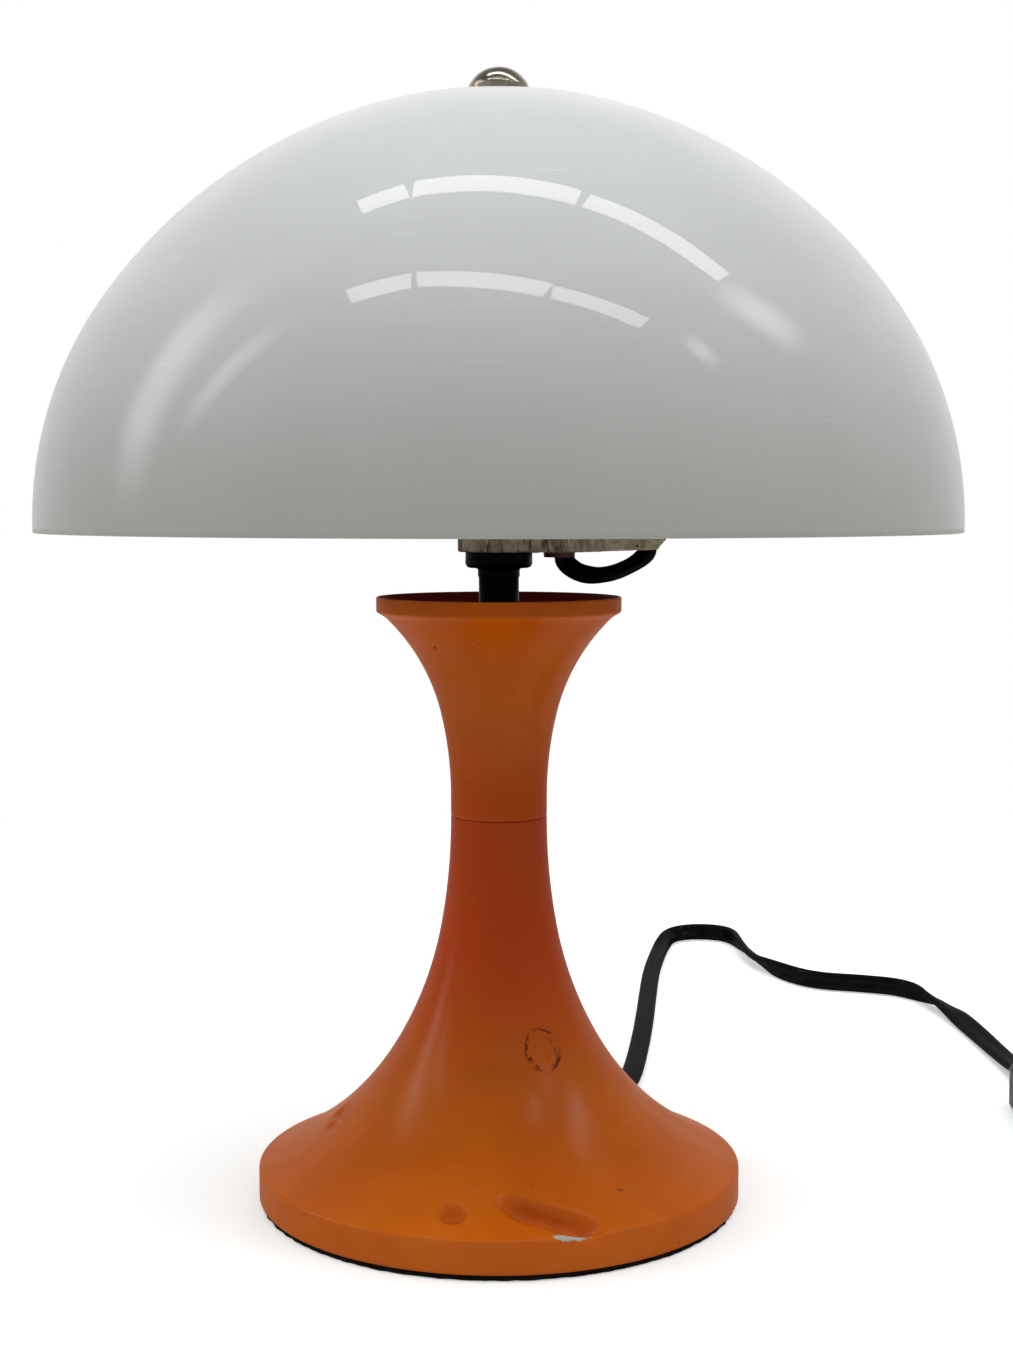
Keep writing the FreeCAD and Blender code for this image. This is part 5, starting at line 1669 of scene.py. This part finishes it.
@dataclass
class Foot:
    """Spun foot with its felt, its ballast and its knocks."""

    wall: float = 0.9
    rim_r: float = 67.0
    rim_high: float = 10.6
    rim_eased: float = 0.9
    felt_r: float = 66.2
    felt_thick: float = 1.8
    felt_hole_r: float = 14.0
    felt_ragged: float = 0.55
    felt_edge: float = 1.5
    fibre_count: int = 620
    fibre_long: float = 0.9
    fibre_r: float = 0.055
    fibre_high: float = 0.85
    fibre_lean: tuple[Triple, Triple] = ((-0.012, -0.012, -0.016), (0.012, 0.012, 0.034))
    fibre_outwards: float = 0.35
    fibre_sizes: Pair = (0.4, 1.0)
    fibre_seed: int = 11
    ballast_voxel: float = 1.1
    ballast_gives: Pair = (4.0, 7.0)
    segments: int = 400
    outline: Outline = Outline(
        (5.15, 107.4),
        (("line", 12.9, 107.4), ("arc", 13.3, 107.0), ("arc", 16.25, 76.0), ("arc", 28.4, 43.9),
         ("arc", rim_r, rim_high), ("line", rim_r, felt_thick)),
        spacing=0.8,
    )
    dents: tuple[Dent, ...] = (
        Dent(-77.1, 60.8, 13.4, 12.6, 3.3, 4.6, -26.6, 0.13, 1.7),
        Dent(-101.4, 59.3, 14.2, 3.1, 2.5, 2.9, 0.0, 0.13, 1.5),
        Dent(-172.8, 44.1, 24.8, 4.4, 2.3, 1.1, 20.0, 0.25, 1.4),
        Dent(-168.0, 46.8, 22.4, 3.0, 2.0, 0.8, 0.0, 0.25, 1.4),
    )

    def knocked(self, rows: np.ndarray) -> Shaping:
        """Make the function that presses the dents into the sheet.

        Args:
            rows: The outer outline.

        Returns:
            A function of azimuth, radius and height that gives the new radius and height.
        """
        lengths, runs = run_lengths(rows), headings(rows)

        def nearest(place: Sequence[float]) -> int:
            """Number of the outline's row that is nearest to a place."""
            return int(np.argmin(np.sum((rows - place) ** 2, axis=1)))

        def shape(azimuth: np.ndarray, radius: np.ndarray, height: np.ndarray) -> tuple[np.ndarray, np.ndarray]:
            """Press the dents in.

            Args:
                azimuth: Azimuth of each point.
                radius: Its radius.
                height: Its height.

            Returns:
                The new radius and height.
            """
            numbers = np.array([nearest(place) for place in np.column_stack((radius[:, 0], height[:, 0]))])
            along = lengths[numbers][:, None]
            inwards = np.column_stack((runs[numbers][:, 1], -runs[numbers][:, 0]))
            press = np.zeros_like(radius)
            for dent in self.dents:
                middle = lengths[nearest((dent.radius, dent.height))]
                around = (azimuth - math.radians(dent.azimuth) + math.pi) % (2 * math.pi) - math.pi
                s, t = around * radius, along - middle
                lean = math.radians(dent.tilt)
                u = (s * math.cos(lean) - t * math.sin(lean)) / dent.half_long
                v = (s * math.sin(lean) + t * math.cos(lean)) / dent.half_wide
                far = (u**4 + v * v) ** dent.crisp
                press += dent.depth * (np.exp(-far) - dent.rim * far * np.exp(-far * 0.9))
            return radius + inwards[:, :1] * press, height + inwards[:, 1:] * press

        return shape

    def sheet(self) -> bpy.types.Object:
        """Make the spun sheet.

        Returns:
            The sheet.
        """
        outer = eased(self.outline.points(), (self.rim_r, self.rim_high), self.rim_eased)
        inner = thinned(offset_rows(outer, -self.wall), 3)
        low = self.felt_thick
        edge = [(self.rim_r, low + 0.3), (self.rim_r - 0.15, low), (self.rim_r - 0.75, low)]
        rows = np.vstack((outer[:-1], edge, inner[::-1]))
        return lathe("foot_sheet", rows, self.segments, shape=self.knocked(outer), sharp=35.0)

    def felt(self) -> bpy.types.Object:
        """Make the felt, with a ragged edge.

        Returns:
            The felt.
        """

        def ragged(azimuth: np.ndarray, radius: np.ndarray, height: np.ndarray) -> tuple[np.ndarray, np.ndarray]:
            """Shift the outer edge in and out.

            Args:
                azimuth: Azimuth of each point.
                radius: Its radius.
                height: Its height.

            Returns:
                The new radius and height.
            """
            shift = np.array(
                [[noise.noise(Vector((math.cos(a) * 22, math.sin(a) * 22, h * 0.9))) for a, h in zip(row_a, row_h)]
                 for row_a, row_h in zip(azimuth, height)]
            )
            edge = radius > self.felt_r - self.felt_edge
            return radius + np.where(edge, shift * self.felt_ragged - 0.1, 0.0), height

        rows = Outline(
            (self.felt_hole_r, 0.02),
            (("line", self.felt_r - 0.5, 0.02), ("arc", self.felt_r, 0.55), ("line", self.felt_r, 1.4),
             ("arc", self.felt_r - 0.4, self.felt_thick), ("line", self.felt_hole_r, self.felt_thick)),
            spacing=6.0,
        ).points()
        return lathe("felt", rows, 360, shape=ragged)

    def fibres(self) -> bpy.types.Object:
        """Scatter loose fibres along the felt's edge.

        Returns:
            The fibres.
        """
        tree = Repeater(
            "felt_fibres",
            {"Fibres": self.fibre_count, "Edge Radius": (self.felt_r + 0.05) * MM, "Fibre Length": self.fibre_long * MM,
             "Fibre Radius": self.fibre_r * MM, "Height": (0.0, 0.0, self.fibre_high * MM), "Seed": self.fibre_seed},
        )
        wires, given = tree.wires, tree.given
        circle = wires.add("GeometryNodeMeshCircle", {"Vertices": given["Fibres"], "Radius": given["Edge Radius"]})
        fibre = wires.add(
            "GeometryNodeMeshCone",
            {"Vertices": 4, "Side Segments": 2, "Radius Top": 0.01 * MM, "Radius Bottom": given["Fibre Radius"],
             "Depth": given["Fibre Length"]},
        )
        lean = dict(zip((0, 1), self.fibre_lean), Seed=given["Seed"])
        leaning = wires.add("FunctionNodeRandomValue", lean, data_type="FLOAT_VECTOR").outputs[0]
        place = wires.add("GeometryNodeInputPosition").outputs[0]
        away = wires.vector("ADD", a=wires.vector("SCALE", a=place, scale=self.fibre_outwards), b=leaning)
        facing = wires.add("FunctionNodeAlignRotationToVector", {"Vector": away}, axis="Z").outputs[0]
        sizes = dict(zip((2, 3), self.fibre_sizes), Seed=given["Seed"])
        size = wires.add("FunctionNodeRandomValue", sizes, data_type="FLOAT").outputs[1]
        fibres = tree.on_points(circle, fibre, Rotation=facing, Scale=size)
        return tree.mesh(tree.moved(fibres, given["Height"]), Finishes.felt)

    def ballast(self) -> bpy.types.Object:
        """Make the cast weight, whose top gives way under the knocks as the sheet does.

        Returns:
            The weight.
        """
        weight = remeshed(copied("ballast_weight", "ballast_casting"), self.ballast_voxel, 1)
        places = np.array([vertex.co for vertex in weight.data.vertices]) / MM
        azimuth = np.arctan2(places[:, 1], places[:, 0])[:, None]
        flat = np.hypot(places[:, 0], places[:, 1])[:, None], places[:, 2:]
        low, high = self.ballast_gives
        share = np.clip((flat[1] - low) / (high - low), 0.0, 1.0)
        pressed = self.knocked(self.outline.points())(azimuth, *flat)
        radius, height = (before + (after - before) * share for before, after in zip(flat, pressed))
        moved = np.column_stack((radius * np.cos(azimuth), radius * np.sin(azimuth), height)) * MM
        weight.data.vertices.foreach_set("co", moved.ravel())
        weight.data.update()
        return weight

    def build(self) -> None:
        """Make and dress the foot's pieces."""
        dressed(self.ballast(), Finishes.iron, "cast_iron", Body.STAND, "ballast_weight")
        dressed(self.sheet(), Finishes.foot, "orange_paint", Body.STAND, "foot_trumpet")
        dressed(self.felt(), Finishes.felt, "felt", Body.STAND, "felt_pad")
        dressed(self.fibres(), Finishes.felt, "felt", Body.STAND)


@dataclass
class Bell:
    """Upper bell on the foot's neck, orange outside, with a dark red copy of the paint inside as painted shade."""

    wall: float = 0.9
    rim_r: float = 33.7
    rim_low: float = 163.9
    rim_high: float = 168.0
    flare_r: float = 31.4
    flare_high: float = 162.6
    seat_r: float = 13.0
    seat_high: float = 108.2
    segments: int = 256
    outline: Outline = Outline(
        (5.15, 107.42),
        (("line", 12.9, 107.42), ("arc", 13.3, 107.82), ("line", 13.3, 113.0), ("arc", 16.0, 135.9),
         ("arc", flare_r, flare_high), ("line", rim_r, rim_low), ("line", rim_r, rim_high)),
        spacing=0.8,
    )

    def inside(self, face: bpy.types.MeshPolygon) -> bool:
        """Tell whether a face belongs to the cup's inside.

        Args:
            face: A face of the sheet.

        Returns:
            True for the inner wall and the cup's bottom.
        """
        middle = face.center / MM
        away, radius = Vector((middle.x, middle.y, 0)).normalized(), math.hypot(middle.x, middle.y)
        wall = face.normal.dot(away) < -0.02 and middle.z > self.seat_high and radius < self.rim_r - 0.5
        return wall or (face.normal.z > 0.9 and radius < self.seat_r)

    def sheet(self) -> bpy.types.Object:
        """Make the spun cup, with painted shade on the inside as a second material.

        Returns:
            The cup.
        """
        outer = eased(self.outline.points(), (self.flare_r, self.flare_high), 0.9)
        outer = eased(outer, (self.rim_r, self.rim_low), 0.5)
        inner = offset_rows(outer, self.wall)[:-1][::-1]
        rim, top = self.rim_r, self.rim_high
        edge = [(rim, top - 0.25), (rim - 0.25, top), (rim - 0.65, top), (rim - 0.9, top - 0.2)]
        piece = lathe("bell_sheet", np.vstack((outer[:-1], edge, inner)), self.segments, sharp=35.0)
        for finish in (Finishes.bell, Finishes.bell_inside_painted_shade):
            piece.data.materials.append(finish.material())
        for face in piece.data.polygons:
            face.material_index = int(self.inside(face))
        return piece

    def build(self) -> None:
        """Make and dress the bell."""
        dressed(self.sheet(), Finishes.bell, "orange_paint", Body.STAND, "bell_cup")


# ---------------------------------------------------------------------------
# Stem, collar, arm and lampholder
# ---------------------------------------------------------------------------
@dataclass
class Stem:
    """Threaded tube with its collar. Paint fills the thread where the tube shows between the bell and the collar."""

    core_r: float = 4.86
    thread_r: float = 5.1
    filled: Pair = (121.0, 177.0)
    filled_r: float = 5.5
    filled_r: float = 5.5
    filled_ease: float = 0.6
    bore_r: float = 4.0
    bottom: float = 9.0
    top: float = 307.4
    pitch: float = 1.0
    ridge: float = 0.24
    collar_r: float = 9.2
    collar_low: float = 175.9
    collar_high: float = 180.2
    neck_r: float = 5.15
    neck_tall: float = 2.4

    def tube(self) -> bpy.types.Object:
        """Make the tube with its thread, which stops where the paint fills it.

        Returns:
            The tube.
        """
        (low, high), ease = self.filled, self.filled_ease
        rows = np.array(
            [(self.core_r, self.bottom), (self.core_r, low), (self.filled_r, low + ease), (self.filled_r, high - ease),
             (self.core_r, high), (self.core_r, self.top), (self.bore_r, self.top), (self.bore_r, self.bottom)], float
        )
        core = lathe("stem_core", rows, 64)
        core.data.materials.append(Finishes.stem.material())
        size = (self.thread_r - self.ridge / 2, self.ridge, self.pitch)
        lower = ring_stack("thread_low", Finishes.stem, *size, self.bottom + 0.5, low - 0.2)
        upper = ring_stack("thread_high", Finishes.stem, *size, high + 0.5, self.top - 0.5)
        stem = stacked("stem", [core, lower, upper])
        smoothed(stem.data, 50.0)
        return stem

    def collar(self) -> bpy.types.Object:
        """Make the round collar under the arm.

        Returns:
            The collar, with its short neck.
        """
        low, high, radius, neck = self.collar_low, self.collar_high, self.collar_r, self.neck_r
        rows = Outline(
            (neck, low - self.neck_tall),
            (("line", neck + 0.6, low - self.neck_tall), ("line", neck + 0.6, low - 0.5), ("line", neck + 1.1, low),
             ("line", radius - 1.4, low), ("arc", radius, low + 1.4), ("line", radius, high - 0.3),
             ("line", radius - 0.3, high), ("line", neck, high)),
            heading=(0.0, 1.0),
            spacing=0.3,
        ).points()
        return lathe("collar", rows, 96)

    def build(self) -> None:
        """Make and dress the tube and the collar."""
        dressed(self.tube(), Finishes.stem, "black_paint", Body.STAND, "stem_tube")
        dressed(self.collar(), Finishes.stem, "black_paint", Body.STAND, "stem_collar")


@dataclass
class Arm:
    """Rough cast arm, made from the frame's own solid."""

    voxel: float = 0.42
    rough: float = 0.16
    lumps: tuple[Pair, Pair] = ((0.55, 1.0), (1.7, 0.45))
    sunk: float = 0.4

    def build(self) -> None:
        """Make and dress the arm, whose skin has lumps of two sizes."""
        arm = remeshed(copied("bracket_arm", "arm"), self.voxel, 2)
        for vertex in arm.data.vertices:
            place = vertex.co / MM
            shift = sum(noise.noise(place * scale) * self.rough * share for scale, share in self.lumps)
            vertex.co += vertex.normal * (shift - self.rough * self.sunk) * MM
        dressed(arm, Finishes.casting, "grey_casting", Body.STAND, "bracket_arm")


@dataclass
class Lampholder:
    """Lampholder's cord, and the grip ribs round its cap."""

    centre: Pair = (39.0, 0.0)
    cap_r: float = 14.0
    ribs: int = 36
    rib_size: Triple = (0.7, 1.1, 10.0)
    rib_high: float = 193.6
    flex: FlatSection = FlatSection(6.3, 2.8)
    cord_way: tuple[Triple, ...] = (
        (0.0, 0.0, 150.0), (0.0, 0.0, 199.3), (16.6, 0.0, 199.3), (16.6, 0.0, 186.0), (17.2, 0.0, 178.4),
        (21.0, 0.0, 174.8), (26.2, 0.0, 173.6), (32.0, 0.0, 174.5), (38.0, 0.0, 177.4), (41.6, 0.0, 180.8),
        (40.2, 0.0, 185.5), (39.0, 0.0, 191.0),
    )
    cord_twist: tuple[Pair, ...] = (
        (0.0, 0.0), (0.64, 0.0), (0.685, 48.0), (0.73, 40.0), (0.79, 26.0), (0.85, 24.0), (0.9, 34.0), (0.945, 10.0),
        (1.0, 0.0),
    )

    def cord(self) -> bpy.types.Object:
        """Make the cord from the stem to the lampholder, whose loop hangs under the arm.

        Returns:
            The cord.
        """
        path = spline_points("holder_route", self.cord_way, 12)
        return swept("holder_flex", path, eased_between(self.cord_twist), self.flex, side=(0.0, 1.0, 0.0))

    def build(self) -> None:
        """Make and dress the cord, and the ribs round the cap."""
        dressed(self.cord(), Finishes.jacket, "cord_jacket", Body.STAND, "holder_cord")
        ribs = rib_ring(
            "holder_ribs", Finishes.bakelite, self.ribs, self.cap_r, self.rib_size, self.rib_high, self.centre
        )
        dressed(ribs, Finishes.bakelite, "black_bakelite", Body.STAND)


@dataclass
class Bulb:
    """Small round opal bulb with a screw cap."""

    centre: Pair = (39.0, 0.0)
    neck: float = 222.6
    top: float = 274.6
    radius: float = 22.5
    neck_r: float = 9.4
    shoulder: float = 42.0
    cap_low: float = 201.1
    cap_high: float = 222.6
    cap_r: float = 6.95
    thread_pitch: float = 2.8
    thread_deep: float = 0.5

    def globe(self) -> bpy.types.Object:
        """Make the glass.

        Returns:
            The glass, from its top to its neck.
        """
        lean, middle = math.radians(self.shoulder), self.top - self.radius
        turn = (self.radius * math.cos(lean), middle - self.radius * math.sin(lean))
        rows = Outline(
            (0.0, self.top),
            (("arc", self.radius, middle), ("arc", *turn), ("arc", self.neck_r, self.neck + 2.0),
             ("line", self.neck_r, self.neck), ("line", 0.0, self.neck)),
            spacing=0.9,
        ).points()
        return lathe("bulb_globe", rows, 128, self.centre)

    def screw(self) -> bpy.types.Object:
        """Make the cap with its thread.

        Returns:
            The cap.
        """
        low, high, core_r = self.cap_low, self.cap_high - 0.02, self.cap_r - 0.55
        rows = np.array([(0.0, low), (self.cap_r - 2.3, low), (core_r, low + 2.0), (core_r, high), (0.0, high)], float)
        core = lathe("cap_core", rows, 48, self.centre)
        core.data.materials.append(Finishes.nickel.material())
        ridges = ring_stack(
            "cap_thread", Finishes.nickel, self.cap_r - self.thread_deep / 2, self.thread_deep, self.thread_pitch,
            low + 4.0, self.cap_high - 4.0, self.centre, 48,
        )
        return stacked("bulb_screw", [core, ridges])

    def build(self) -> None:
        """Make and dress the glass and the cap."""
        dressed(self.globe(), Finishes.glass, "opal_glass", Body.BULB, "bulb_glass")
        dressed(self.screw(), Finishes.nickel, "nickel", Body.BULB, "bulb_cap")


# ---------------------------------------------------------------------------
# Shade and finial
# ---------------------------------------------------------------------------
@dataclass
class Shade:
    """Opal dome with a nick at its rim."""

    wall: float = 3.0
    segments: int = 256
    rim_r: float = 124.6
    rim_low: float = 185.8
    nick_azimuth: float = -47.0
    nick_half: float = 0.9
    nick_deep: float = 0.5
    nick_tall: float = 0.8
    outline: Outline = Outline(
        (5.4, 302.0),
        (("line", 8.2, 302.0), ("arc", 36.8, 297.5), ("arc", 106.0, 246.6), ("arc", rim_r, rim_low)),
        spacing=1.6,
    )

    def dome(self) -> bpy.types.Object:
        """Make the dome.

        Returns:
            The dome.
        """
        outer = self.outline.points()
        inner = thinned(offset_rows(outer, -self.wall), 2)
        rim, low = self.rim_r, self.rim_low
        edge = [(rim + 0.02, low + 0.45), (rim - 0.1, low + 0.15), (rim - 0.4, low), (rim - 2.5, low),
                (rim - 2.8, low + 0.15), (rim - 2.9, low + 0.45)]
        rows = np.vstack((outer[:-1], edge, inner[:-1][::-1]))

        def nicked(azimuth: np.ndarray, radius: np.ndarray, height: np.ndarray) -> tuple[np.ndarray, np.ndarray]:
            """Take a small chip out of the rim.

            Args:
                azimuth: Azimuth of each point.
                radius: Its radius.
                height: Its height.

            Returns:
                The new radius and height.
            """
            around = (azimuth - math.radians(self.nick_azimuth)) * radius / self.nick_half
            chip = np.exp(-(around**2) - ((height - low - 0.2) / self.nick_half) ** 2) * (radius > rim - 1.1)
            return radius - chip * self.nick_deep, height + chip * self.nick_tall

        return lathe("dome", rows, self.segments, shape=nicked, sharp=50.0)

    def build(self) -> None:
        """Make and dress the dome."""
        dressed(self.dome(), Finishes.acrylic, "opal_acrylic", Body.SHADE, "shade_dome")


@dataclass
class Finial:
    """Rounded nickel cap nut on its washer."""

    seat: float = 302.8
    radius: float = 8.2
    skirt: float = 2.6
    tall: float = 7.7
    bore: float = 5.15
    bore_deep: float = 5.6

    def build(self) -> None:
        """Make and dress the cap nut."""
        seat, radius, bore = self.seat, self.radius, self.bore
        rows = Outline(
            (0.0, seat + self.tall),
            (("arc", radius, seat + self.skirt), ("line", radius, seat + 0.2), ("line", radius - 0.2, seat),
             ("line", bore, seat), ("line", bore, seat + self.bore_deep), ("line", 0.0, seat + self.bore_deep)),
            spacing=0.35,
        ).points()
        rows = eased(rows, (radius, seat + self.skirt), 0.6)
        dressed(lathe("finial_cap", rows, 96, sharp=45.0), Finishes.nickel, "nickel", Body.FINIAL, "finial_nut")


# ---------------------------------------------------------------------------
# Plug
# ---------------------------------------------------------------------------
@dataclass
class Plug:
    """Flat two-pin plug: a softened copy of its moulding."""

    voxel: float = 0.45

    def build(self) -> bpy.types.Object:
        """Make and dress the moulding.

        Returns:
            The moulding, for the cord that it is on.
        """
        plug = remeshed(copied("plug_body", "plug_moulding"), self.voxel, 4)
        return dressed(plug, Finishes.moulding, "black_plastic", Body.STAND, "plug_body")


# ---------------------------------------------------------------------------
# Whole lamp
# ---------------------------------------------------------------------------
def dress_nodes() -> None:
    """Give every node that stays in view the finish of its slot."""
    slots = {part["node"]: part["material_slot"] for part in frame["record"]["subparts"]}
    for name, item in frame["nodes"].items():
        item.data.materials.clear()
        item.data.materials.append(Finishes.by_slot[slots[name]].material())
        log.info("node %s in %s", name, slots[name])


def main() -> None:
    """Build the studio, the cords, and then every sub-assembly."""
    Studio().build()
    dress_nodes()
    for part in (MainsCord(), Foot(), Bell(), Stem(), Arm(), Lampholder(), Bulb(), Shade(), Finial()):
        log.info("building %s", type(part).__name__)
        part.build()


if __name__ == "__main__":
    main()
